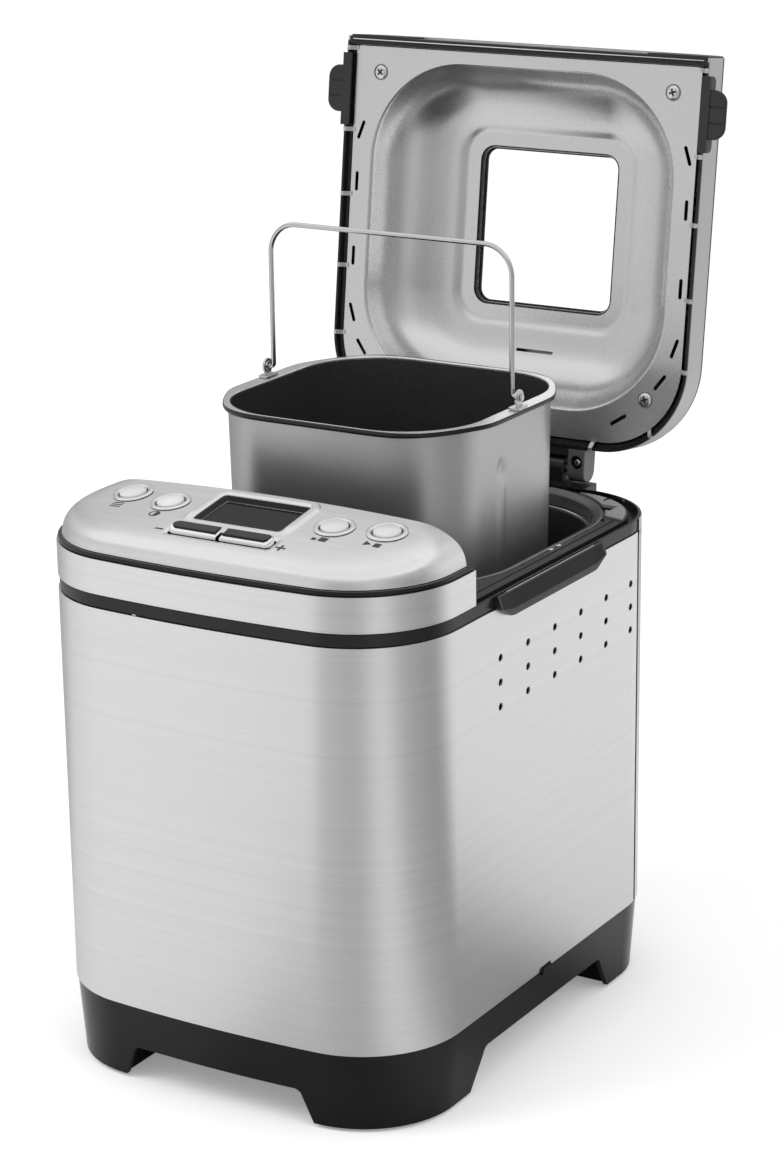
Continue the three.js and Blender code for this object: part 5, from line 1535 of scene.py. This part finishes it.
front_wall = [(-front_wall_half, front_wall_low), (front_wall_half, front_wall_low)]
front_wall += [(x, under_dome(x)) for x in np.linspace(front_wall_half, -front_wall_half, 61)]
lid_piece("lid_front_wall", prism(front_wall, dome_start, dome_start + 2.6, "y"), satin_black)
ledge_x = half_width - 4.6
ledge = block(-ledge_x, ledge_x, dome_start + 0.1, lid_front + 3, cover_z + 0.6, cover_z + 2)
lid_piece("lid_front_ledge", ledge, satin_black)
step_half = 80
step_low = lid_bottom + 2.2
step_rear = lid_front + 0.6
front_steps = [block(-step_half, step_half, lid_front - 0.05, step_rear, step_low, cover_z - 0.2)]
front_steps += [block(side * (step_half - 0.1), side * 118.3, dome_start, step_rear, step_low, cover_z + 0.8)
                for side, _ in SIDES]
lid_piece("lid_front_steps", joined(*front_steps), satin_black)
hem = block(-step_half, step_half, dome_start - 0.05, dome_start + 1.7, cover_z + 0.3, cover_z + 0.9)
lid_piece("lid_front_hem", hem, band_steel)
# A thin bright bar between the lip and the front wall is a painted highlight along that edge.
line = [(x, lid_front + 1.7, lid_bottom + 0.75) for x in (3.4 - half_width, 0, half_width - 3.4)]
lid_piece("lid_front_line", bar(line, 0.36, 8), screw_plate)
print("lid frame and band")

# %% [markdown]
# ## Lid dome and window
#
# The dome is made like the control panel, as a height over the plan, because its shoulder runs on
# from the panel's. The window is one thick glass flush with the steel, on a black rubber seal.

# %% Lid dome and window
dome_front = lid_front + 13.1
dome_rear = body_rear - 22.5
window_y = (dome_front + dome_rear) / 2 - 2.45
window_half = 44.6
glass_half = window_half + 7
seal_low = liner_z + 39
ledge_z = deck_z + 47.9
glass_z = ledge_z + 1.3


def rear_distance(x, y):
    x = np.abs(x)
    corner = rear_corner - np.hypot(x - rear_corner_x, y - rear_corner_y)
    in_corner = (x > rear_corner_x) & (y > rear_corner_y)
    return np.where(in_corner, corner, np.minimum(half_width - x, body_rear - y))


def lid_height(x, y):
    shoulder_height = cover_start + lid_rise(rear_distance(x, y) - cover_inset)
    return least(shoulder_height, lid_top(x, y), crease(y - lid_front))


def window_box(half, radius, steps=6, side_steps=10):
    low, high = window_y - half - 1, window_y + half + 1
    return rounded_box(half, low, high, radius, steps=steps, side_steps=side_steps)


lid_edge = lid_path(cover_inset, dome_start)
cover_half = half_width - cover_inset
lid_edge += [(x, dome_start) for x in np.linspace(-cover_half, cover_half, 90)[1:-1]]
lid_rings = [lid_path(cover_inset + d, dome_start) for d in ring_insets]
lid_rings += [window_box(glass_half + grow, 13 + grow) for grow in (1, 2.5)]
lid_grid = grid_over(-half_width, half_width, dome_start + 1.2, body_rear, 3.2)
dome = pressed_cover("steel_dome", lid_edge, lid_rings, [window_box(glass_half + 0.3, 13.3)], lid_grid,
                     lid_height, cover_steel, ["lid_cover"], "lid", opened)


def glass_outline(inset):
    return window_box(glass_half - inset, 13 - inset, 10, 2)


def seal_outline(grow):
    return window_box(window_half + grow, 7 + grow, 8, 2)


pane = soft_prism(glass_outline, glass_z, glass_z + 3.2, 0.5)
lid_piece("window_pane", pane, window_clear, ["window_glass"])
seal = raised([(3.4, -0.1), (0.3, -0.1), (0.0, -0.5)], glass_z) + raised([(0.0, -0.3), (0.9, -0.6)], ledge_z)
seal += raised([(1.0, 1.2), (1.5, 0.1), (1.9, -0.35), (2.3, -0.2), (2.4, 0.5), (2.9, 1.1), (3.4, 1.2)],
               seal_low)
lid_piece("window_seal", tube(along(seal_outline, seal)), gloss_black)
print("dome", len(dome.data.polygons), "faces")

# %% [markdown]
# ## The liner
#
# One aluminium sheet: a flat flange, a steep wall rolling into a shallow dome, and a raised step
# round the window. The section is a smooth curve through a few points. Each point is a share of
# the way from the dome's edge to the window's ledge, with its height, so round corners follow.
# Slots, screw holes and the slit of the steam sensor are cut through the sheet.

# %% Liner
liner_section = [(-0.035, 0.0), (-0.018, 0.1), (-0.004, 0.6), (0.008, 1.7), (0.02, 3.6), (0.045, 7.8),
                 (0.085, 13.0), (0.14, 18.0), (0.21, 22.6), (0.31, 27.0), (0.42, 30.4), (0.55, 33.4),
                 (0.70, 35.6), (0.80, 36.6), (0.86, 37.1), (0.90, 37.6), (0.935, 38.2), (0.965, 38.7),
                 (0.99, 38.95), (1.01, 39.0), (1.05, 39.0)]


def curve_through(points, steps):
    """A smooth curve through points, as a list of points."""
    points = [np.array(p, float) for p in points]
    points = [2 * points[0] - points[1]] + points + [2 * points[-1] - points[-2]]
    made = []
    for a, b, c, d in zip(points, points[1:], points[2:], points[3:]):
        for t in np.linspace(0, 1, steps, endpoint=False):
            made.append(0.5 * (2 * b + (c - a) * t + (2 * a - 5 * b + 4 * c - d) * t**2
                               + (3 * b - a - 3 * c + d) * t**3))
    return made + [points[-2]]


def liner_box(half_x, low, high, front_radius, radius, z):
    return ring_at(rounded_box(half_x, low, high, front_radius, radius, steps=20, side_steps=8), z)


dome_foot = np.array((half_width - 19, dome_front, dome_rear, 60, 60))
ledge_half = window_half + 10
window_ledge = np.array((ledge_half, window_y - ledge_half - 1, window_y + ledge_half + 1, 15, 15))
opening_half = window_half + 1.9
opening_front, opening_rear = window_y - opening_half - 1, window_y + opening_half + 1
flange_gap = 5.2
flange_half, flange_corner = half_width - flange_gap, rear_corner - flange_gap
flange_front, flange_rear = lid_front + 5.4, body_rear - flange_gap
under = [liner_box(flange_half, flange_front, flange_rear, 3, flange_corner, liner_z + 0.15),
         liner_box(flange_half, flange_front + 0.15, flange_rear - 0.15, 4, flange_corner, liner_z)]
under += [liner_box(*dome_foot + (window_ledge - dome_foot) * share, liner_z + rise)
          for share, rise in curve_through(liner_section, 3)]
under.append(liner_box(opening_half, opening_front, opening_rear, 8, 8, seal_low))
over = [[(x, y, z + 1) for x, y, z in ring] for ring in under[::-1]]
liner = lid_piece("lid_liner_sheet", tube(under + over), liner_sheet, ["lid_liner"])


def round_slot(x0, y0, x1, y1, width=2.2):
    turn = math.degrees(math.atan2(y1 - y0, x1 - x0))
    return arc(x1, y1, width / 2, turn - 90, turn + 90, 6) + arc(x0, y0, width / 2, turn + 90, turn + 270, 6)


# The slots on the right, from end to end, with y from the middle of the pan.
slot_lines = [(107.7, -62.8, 110.9, -53.8), (110.7, -32.2, 110.7, -22.6), (110.6, 12.8, 110.6, 22.4),
              (110.9, 47.6, 107.9, 56.8), (104.4, 69.0, 98.9, 76.4), (80.6, 94.6, 72.4, 100.0)]
holes = [round_slot(side * x0, pan_y + y0, side * x1, pan_y + y1)
         for x0, y0, x1, y1 in slot_lines for side, _ in SIDES]
holes += [circle(x, y, 2.3, 16) for x, y in screw_places.values()]
holes = [prism(outline, liner_z - 2, liner_z + 3) for outline in holes]
slit_y = pan_y + 66.6
holes.append(block(-12.5, 12.5, slit_y, slit_y + 1.8, liner_z + 22, liner_z + 55))
cut(liner, *[opened_shape(hole) for hole in holes])
print("liner", len(liner.data.polygons), "faces")

# %% Liner screws and clips
for place, (x, y) in screw_places.items():
    lid_screw(f"lid_screw_{place}", 4.1, 1.25, (x, y, liner_z), [f"liner_screw_{place}"], 18 if x > 0 else 50)
    seat = ring_at(circle(x, y, 4.55, 32), liner_z - 0.05)
    lid_piece(f"screw_seat_{place}", bar(seat, 0.3, 8, closed=True), shaded_chamber_sheet)

clip_rise = liner_z - lid_bottom
clip_section = [(0.2, 0.7), (0.2, -0.3), (0.4, -0.5), (1.9, -0.5), (2.3, -0.2), (4.9, clip_rise - 0.5),
                (6.4, clip_rise - 0.45), (6.4, clip_rise - 0.1), (4.7, clip_rise - 0.1), (2.1, 0.2),
                (1.8, -0.1), (0.6, -0.1), (0.6, 0.7)]


def lip_clip(name, side, x, y, heading):
    """A bright clip folded over the lip on one side; heading is the outward direction in degrees."""
    out_x, out_y = math.cos(math.radians(heading)), math.sin(math.radians(heading))
    rings = [[(x - out_x * inset - out_y * shift, y - out_y * inset + out_x * shift, lid_bottom + rise)
              for inset, rise in clip_section] for shift in (-1.3, 1.3)]
    lid_piece(name, mirrored(skin(rings), side), zinc_sheet)


clip_turn = 50.5
clip_x, clip_y = arc(rear_corner_x, rear_corner_y, rear_corner, clip_turn, clip_turn, 0)[0]
for side, word in SIDES:
    for number, along_side in enumerate((-106.8, -58.3, -19.5, 23.8, 64.9)):
        lip_clip(f"lip_clip_{word}_{number}", side, half_width, pan_y + along_side, 0)
    lip_clip(f"lip_clip_{word}_corner", side, clip_x, clip_y, clip_turn)
    lip_clip(f"lip_clip_{word}_rear", side, 61, body_rear, 90)
print("four screws and fourteen clips")

# %% [markdown]
# ## Grips
#
# A grip stands out of each side of the lid, just behind its front edge. It is a soft block on a
# rounded plate, with two grooves across it for the fingers.

# %% Grips
grip_y = lid_front + 31.6
grip_x = half_width + 0.3
plate_half = 21.5
plate_thick = 1.8


def plate_outline(inset):
    low, high, reach, r = lid_bottom + 0.1 + inset, lid_bottom + 7 - inset, plate_half - inset, 3.4 - inset
    return (arc(grip_y + reach - r, high - r, r, 0, 90, 6) + arc(grip_y - reach + r, high - r, r, 90, 180, 6)
            + [(grip_y - reach, low), (grip_y + reach, low)])


def lid_grip(side, word):
    outer = abs(box_of(f"grip_{word}")[int(side > 0)][0])

    def knob_outline(inset, share=0.0):
        reach, r = outer - inset - 9.6 * share**1.3, 7.4 - inset - 3.6 * share
        half = 14 - inset - 2 * share
        low, high = grip_y - half, grip_y + half
        return ([(grip_x + 0.4, low)] + arc(reach - r, low + r, r, 270, 360, 8)
                + arc(reach - r, high - r, r, 0, 90, 8) + [(grip_x + 0.4, high)])

    layers = [(knob_outline(inset), rise) for inset, rise in ((1.2, 0), (0.6, 0.15), (0.2, 0.6), (0, 1.2))]
    layers += [(knob_outline(0, share), 1.2 + 13.8 * share) for share in (0.15, 0.35, 0.55, 0.75, 0.9, 1.0)]
    knob = skin([ring_at(outline, lid_bottom + rise) for outline, rise in layers])
    plate = soft_prism(plate_outline, grip_x, grip_x + plate_thick, 0.5, bottom=False, axis="x")
    base = block(half_width - 3.6, grip_x + plate_thick, grip_y - plate_half, grip_y + plate_half,
                 lid_bottom - 0.55, lid_bottom + 0.8)
    lid_piece(f"grip_plate_{word}", mirrored(plate, side), grip_black)
    lid_piece(f"grip_base_{word}", mirrored(base, side), grip_black)
    grip = lid_piece(f"grip_knob_{word}", mirrored(knob, side), grip_black, [f"grip_{word}"])
    groove_in, groove_out = side * (grip_x + 2.4), side * (outer + 3)
    grooves = [block(groove_in, groove_out, middle - 0.5, middle + 0.5, lid_bottom - 3, lid_bottom + 0.8)
               for middle in (grip_y - 4.6, grip_y + 4.6)]
    cut(grip, *[opened_shape(groove) for groove in grooves])


for side, word in SIDES:
    lid_grip(side, word)
print("grips")

# %% [markdown]
# ## The hinge
#
# Behind the body stands a block that holds the hinge pin. The lid's two arms turn on the ends of
# the pin, outside the block. A screw sits in a round recess on each arm.

# %% Hinge
tower_low, tower_high = box_of("hinge_tower")
tower_half = tower_high[0]
arm_inner, arm_outer = tower_half + 2.6, tower_half + 13.8
hinge_radius = 7.4
hinge_front = body_rear + 0.3


def tower_outline(inset):
    front, base, r = hinge_front + inset, tower_low[2] + inset, hinge_radius - inset
    return ([(front, base), (hinge_y - 1, base), (hinge_y + 6.9 - inset, hinge_z - 9)]
            + arc(hinge_y, hinge_z, r, -20, 180, 20)
            + [(hinge_y - r, deck_z + 0.3 - inset), (front, deck_z - 0.4 - inset)])


def foot_outline(inset):
    front, rear, top = hinge_front + inset, hinge_y + 3.4 - inset, deck_z - 0.6 - inset
    return [(front, deck_z - 16 + inset), (hinge_y + 1 - inset, deck_z - 12 + inset), (rear, deck_z - 5),
            (rear, top), (front, top)]


def arm_outline(inset):
    front, low, r = hinge_front + inset, hinge_z - 6.8 + inset, hinge_radius - inset
    return ([(front, low), (hinge_y + 1.6, low)] + arc(hinge_y, hinge_z, r, -52, 90, 16)
            + [(front, hinge_z + r)])


def web_outline(inset):
    front, rear = hinge_front + inset, hinge_y - 8 - inset
    low, high = hinge_z - 6.3 + inset, hinge_z + 6 - inset
    return [(front, low), (rear, low), (rear, high), (front, high)]


tower = soft_prism(tower_outline, -tower_half, tower_half, 0.6, axis="x")
piece("hinge_block", tower, satin_black, ["hinge_tower"])
screw_y = hinge_y - 4.6
for side, word in SIDES:
    foot = soft_prism(foot_outline, tower_half - 1, arm_outer + 3.6, 0.5, axis="x")
    piece(f"hinge_foot_{word}", mirrored(foot, side), satin_black)
    arm = soft_prism(arm_outline, arm_inner, arm_outer, 0.8, axis="x")
    arm = lid_piece(f"hinge_arm_block_{word}", mirrored(arm, side), pad_black, [f"hinge_arm_{word}"])
    middle = side * (arm_inner + arm_outer) / 2
    cut(arm, opened_shape(placed(turned([(4.1, -5), (4.1, 3.4)], 32), (middle, screw_y, hinge_z - 6.8))))
    cup = turned([(3.9, -0.4), (3.9, 0.1), (0.01, 0.1), (0.01, -0.4)], 32)
    cup = placed(cup, (middle, screw_y, hinge_z - 3.6))
    lid_piece(f"hinge_cup_{word}", cup, display_black)
    lid_screw(f"hinge_screw_{word}", 2.3, 1.6, (middle, screw_y, hinge_z - 3.9))
lid_piece("hinge_web", soft_prism(web_outline, -arm_inner - 1, arm_inner + 1, 0.4, axis="x"), satin_black)
print("hinge")

# %% [markdown]
# ## The baking chamber
#
# Below the deck's lip hangs a sheet-steel box with wide round corners. Its bright rolled rim shows
# as a thin line in the well. On its floor a ring holds the pan, and a heater rod runs round.

# %% Chamber
chamber_low, chamber_high = box_of("baking_chamber")
floor_z = chamber_low[2]
rim_line = chamber_high[2] + 0.2


def chamber_outline(inset, steps=16):
    return well_outline(-2.4 - inset, steps)


# The wall as (inset, height): up the outside from the floor, over the rim and down the inside.
outside = [(9, 0), (4, 0.6), (1.2, 2.4), (0.3, 5), (0, 9)]
rim = [(0, -2), (-0.5, -1.2), (-2.6, -0.9), (-4, -0.9), (-4, 0), (-1.6, 0), (0.2, -0.3), (0.8, -1.0)]
inner_wall = [(0.9, 9.5), (1.2, 6), (2.1, 3.4), (4.5, 1.6), (9, 0.9)]
walls = raised(outside, floor_z) + raised(rim, rim_line) + raised(inner_wall, floor_z)
# The shell's dark sheet is painted shade.
chamber = piece("chamber_shell", skin(along(chamber_outline, walls)), shaded_chamber_sheet, ["baking_chamber"])
cut(chamber, prism(circle(0, pan_y, 12, 40), floor_z - 5, floor_z + 8))
rim_bead = bar(ring_at(chamber_outline(0.5, 24), rim_line + 0.1), 0.55, 10, closed=True)
piece("chamber_rim", rim_bead, screw_plate)
print("chamber", len(chamber.data.polygons), "faces")

# %% [markdown]
# ## The baking pan
#
# The pan is pressed from one sheet: grey metallic coating outside, dark non-stick coating inside.
# The two faces are skinned apart, so each has its own finish. Its sides carry a rib and a bright
# flange with bevelled corners, and a dark bead runs round the mouth.

# %% Pan
pan_low, pan_high = box_of("pan_body")
pan_top = pan_high[2]
pan_deep = 145
pan_floor = pan_top - pan_deep
pan_half_x = pan_high[0] - 7.5
pan_half_y = 80
pan_corner = 47
rib_y = pan_y - 11
rib_top = pan_top - 33
pan_round = 9
pan_taper = 2.5


def pan_box(grow):
    return rounded_box(pan_half_x + grow, pan_y - pan_half_y - grow, pan_y + pan_half_y + grow,
                       pan_corner + grow, steps=26, side_steps=44)


def wall_inset(z):
    """How far the wall lies inside the mouth's outline at a height above the floor."""
    if z < pan_round:
        return pan_taper + pan_round * (1 - math.sqrt(max(1 - (1 - z / pan_round) ** 2, 0)))
    return pan_taper * (1 - (z - pan_round) / (pan_deep - pan_round))


def ribbed(ring):
    """A ring of the pan's wall with the pressed rib and the dimple above it."""
    made = []
    for x, y, z in ring:
        if abs(x) > pan_half_x - 8 and abs(y - rib_y) < 12:
            across = (y - rib_y) / 4.0
            down = step_between(rib_top - z, 0, 9) * step_between(z - pan_floor, 8, 22)
            dimple = math.exp(-((y - rib_y) / 4.2) ** 2 - ((z - rib_top - 1) / 5.0) ** 2)
            x += math.copysign(1, x) * (0.7 * math.exp(-across**4) * float(down) - 1.7 * dimple)
        made.append((x, y, z))
    return made


levels = [0, 0.25, 0.8, 1.8, 3.2, 5, 7, 9] + list(np.linspace(12, 143.8, 60))


def wall_rings(inset, low):
    """Rings of the wall at an inset, from a height above the floor upwards."""
    return [ribbed(ring_at(pan_box(-wall_inset(z) - inset), pan_floor + z)) for z in levels if z >= low]


outer_skin = skin(wall_rings(0, 0) + wall_rings(0.6, 0.7)[::-1])
inner_skin = skin(wall_rings(0.62, 0.7) + wall_rings(1.25, 1.7)[::-1])
pan_skin = piece("pan_outer", outer_skin, pan_outside, ["pan_body"], body="pan")
lining = piece("pan_lining", inner_skin, pan_inside, body="pan")
shaft_hole = prism(circle(0, pan_y, 6, 32), pan_floor - 5, pan_floor + 12)
cut(pan_skin, shaft_hole)
cut(lining, shaft_hole)
print("pan", len(pan_skin.data.polygons), "faces")

# %% Pan flange and its rolled edge
# Corners of the flange's outline for a quarter of it, from the side round to the front.
flange_corners = [(pan_high[0], 0), (pan_high[0], 36), (73, 62), (62.5, 74), (49, 81.2), (34, 82.6),
                  (0, 82.6)]
corner_power = 60


def flange_reach(x, y):
    """Where the line from the pan's middle through a point meets the flange's outline."""
    total = 0
    for (x0, y0), (x1, y1) in zip(flange_corners, flange_corners[1:]):
        nx, ny = y1 - y0, x0 - x1
        total += max((nx * abs(x) + ny * abs(y)) / (nx * x0 + ny * y0), 0) ** corner_power
    scale = total ** (-1 / corner_power)
    return x * scale, y * scale


mouth = [(x, y - pan_y) for x, y in pan_box(-1.35)]
rim_spots = []
for x, y in mouth:
    far_x, far_y = flange_reach(x, y)
    width = math.hypot(far_x - x, far_y - y)
    front = float(step_between(abs(y), 66, 80))
    rim_spots.append((x, y, (far_x - x) / width, (far_y - y) / width, width, 0.45 + 1.9 * front))


def rim_ring(from_mouth, share, from_edge, rise, dark_part):
    """Points on the flange: a distance from the mouth, or one in from the outer or the silver edge."""
    ring = []
    for x, y, dx, dy, width, dark in rim_spots:
        reach = from_mouth + share * (width - from_edge - dark_part * dark)
        ring.append((x + dx * reach, pan_y + y + dy * reach, pan_top + rise))
    return ring


silver = [(0, 0, 0, -1.8, 0), (0, 0, 0, -0.9, 0), (0.12, 0, 0, -0.4, 0), (0.32, 0, 0, -0.12, 0),
          (0.5, 0, 0, -0.04, 0), (0, 0.6, 0.2, -0.04, 1), (0, 1, 0.2, -0.1, 1), (0, 1, 0, -0.3, 1),
          (0, 1, 0, -0.8, 1), (1.4, 0, 0, -0.8, 0), (1.3, 0, 0, -1.8, 0)]
rolled = [(0.5, -0.85, 1), (-0.05, -0.5, 1), (-0.05, -0.16, 1), (0.4, -0.14, 0), (0.28, -0.24, 0),
          (0.12, -0.55, 0), (0.02, -1.0, 0), (0, -1.5, 0), (0.06, -2.0, 0), (0.24, -2.5, 0),
          (0.55, -2.85, 0), (0.95, -3.0, 0), (1.3, -2.8, 0), (1.4, -1.6, 0)]
piece("pan_flange", tube([rim_ring(*step) for step in silver]), pan_flange, body="pan")
piece("pan_rolled_edge", tube([rim_ring(0, 1, *step) for step in rolled]), pan_rim, body="pan")
print("flange and rolled edge", len(mouth), "points round")

# %% Foot ring and boss
ring_low = pan_low[2]
foot_ring = raised([(33.5, 0.4), (33.9, 0), (35.6, 0), (36, 0.4)], ring_low)
foot_ring += raised([(36, 0.5), (33.5, 0.5)], pan_floor)
boss = raised([(4.3, -7), (9.6, -7), (10, -6.6), (10, 5.4), (9.4, 6), (4.3, 6)], pan_floor)
piece("pan_foot_ring", placed(turned(foot_ring, 72, closed=True), (0, pan_y, 0)), pan_outside, body="pan")
piece("pan_boss", placed(turned(boss, 40, closed=True), (0, pan_y, 0)), cast_metal, body="pan")
print("foot ring and boss")

# %% [markdown]
# ## Ears, bail and paddle
#
# A bent steel ear stands on each side flange. The bail is one wire: its ends turn outwards through
# the ears and are upset to a small head, so that they cannot slip out. The paddle is cast: a
# tapered blade on a hub that drops on the shaft.

# %% Ears and bail
ear_x = pan_half_x + 4.1
pivot_z = box_of("pan_ear_right")[1][2] - 4.5
quarter_turn = Matrix.Rotation(math.pi / 2, 3, "Y")


def ear_base(inset):
    return rounded_box(3.4 - inset, pan_y - 6 + inset, pan_y + 6 - inset, 1.4 - inset * 0.5,
                       steps=4, side_steps=1)


def ear_tab(inset):
    r, neck = 4.4 - inset, 2.7 - inset
    return ([(pan_y - neck - 1, pan_top + 1), (pan_y + neck + 1, pan_top + 1), (pan_y + neck, pan_top + 1.8)]
            + arc(pan_y, pivot_z, r, -42, 222, 26) + [(pan_y - neck, pan_top + 1.8)])


eyelet = [(1.75, -1.1), (2.5, -1.1), (2.75, -0.8), (2.75, 0.8), (2.5, 1.1), (1.75, 1.1)]
ear_parts = {
    "base": placed(soft_prism(ear_base, pan_top + 0.2, pan_top + 1.4, 0.3, False), (ear_x - 0.5, 0, 0)),
    "tab": placed(soft_prism(ear_tab, -0.7, 0.7, 0.25, axis="x"), (ear_x, 0, 0)),
    "eyelet": placed(facing(turned(eyelet, 28, closed=True), "x"), (ear_x, pan_y, pivot_z)),
}
drill = placed(turned([(1.9, -4), (1.9, 4)], 24), (ear_x, pan_y, pivot_z), quarter_turn)
for side, word in SIDES:
    for name, shape in ear_parts.items():
        stands_for = [f"pan_ear_{word}"] if name == "base" else ()
        part = piece(f"ear_{name}_{word}", mirrored(shape, side), ear_steel, stands_for, body="pan")
        if name == "tab":
            cut(part, mirrored(drill, side))

wire = 1.4
wire_bend = 17
bail_high = box_of("bail")[1]
bail_x = pan_half_x - 0.2
bail_top = bail_high[2] - wire
bail_end = bail_high[0] - 0.1
# Half of the wire's path, from its end in the ear up to the middle of the bar.
half_path = [(bail_end, pivot_z), (bail_x + 2.2, pivot_z)]
half_path += arc(bail_x + 2.0, pivot_z + 2.0, 2.0, -100, -180, 6)
half_path += [(bail_x, z) for z in np.linspace(pivot_z + 3, bail_top - wire_bend, 14)]
half_path += arc(bail_x - wire_bend, bail_top - wire_bend, wire_bend, 4, 90, 19)
half_path += [(x, bail_top) for x in np.linspace(bail_x - 20, 0, 10)]
path = [(x, pan_y, z) for x, z in half_path] + [(-x, pan_y, z) for x, z in half_path[-2::-1]]
piece("bail_wire", bar(path, wire, 20), wire_steel, ["bail"], body="bail")
head = turned([(0.01, -0.9), (1.7, -0.9), (2.0, -0.6), (2.0, -0.1), (1.6, 0.2), (0.01, 0.3)], 24)
head = placed(head, (bail_end - 0.3, pan_y, pivot_z), quarter_turn)
for side, word in SIDES:
    piece(f"bail_head_{word}", mirrored(head, side), wire_steel, body="bail")
print("ears and bail")

# %% Paddle
paddle_z = box_of("kneading_paddle")[0][2]
blade_reach = 54


def blade_section(share):
    """The blade's section at a share of its reach, wide at the foot and narrow at the top."""
    top = 19 + 9.5 * math.sin(share * math.pi * 0.75) - 90 * max(share - 0.78, 0) ** 1.5
    half = 2.0 - 0.7 * share
    section = [(-half, 0.3), (half, 0.3), (half * 0.8, top - 1), (half * 0.35, top - 0.2),
               (half * -0.35, top - 0.2), (half * -0.8, top - 1)]
    return [(blade_reach * share, pan_y + y, paddle_z + z) for y, z in section]


blade = skin([blade_section(share) for share in (0.0, 0.12, 0.25, 0.4, 0.55, 0.7, 0.82, 0.9, 0.96, 1.0)])
hub_profile = [(4.3, 0), (8.6, 0), (9, 0.4), (8.4, 17.5), (7.6, 19.2), (6, 20), (0.01, 20),
               (0.01, 16.3), (4.3, 16.3)]
hub = placed(turned(hub_profile, 40, closed=True), (0, pan_y, paddle_z))
piece("paddle_blade", blade, pan_inside, ["kneading_paddle"], body="paddle")
piece("paddle_hub", hub, pan_inside, body="paddle")
print("paddle")

# %% [markdown]
# ## Inner parts
#
# The heater, the drive and the boards are seen only with the pan out or from below. Their solids
# from the model are shown as they are, with soft edges and finishes of their own.

# %% Finishes of the inner parts
inner_finish = {
    "chassis_plate": zinc_sheet, "heater_element": shaded_chamber_sheet, "temperature_sensor": screw_plate,
    "pan_socket": cast_metal, "shaft_bearing": bronze_metal, "drive_shaft": screw_plate,
    "drive_pulley": satin_black, "drive_belt": belt_rubber, "motor_pulley": satin_black, "motor": zinc_sheet,
    "power_board": board_green, "control_board": board_green, "lcd_module": display_black,
    "hinge_pin": screw_plate, "cord_inlet": satin_black, "paddle_shaft": screw_plate,
}
shown = {obj.name: obj for obj in bpy.data.objects if obj.type == "MESH" and not obj.hide_render}
for name, finish in inner_finish.items():
    obj = shown.get(name)
    if obj is None:
        print("not shown:", name)
        continue
    obj.data.materials.clear()
    obj.data.materials.append(finish)
    rounding = obj.modifiers.new("rounded edges", "BEVEL")
    rounding.width = 0.0004
    rounding.segments = 2
    rounding.limit_method = "ANGLE"
    rounding.angle_limit = math.radians(40)
    obj.modifiers.new("even shading", "WEIGHTED_NORMAL").keep_sharp = True
print("inner parts finished", len(inner_finish))
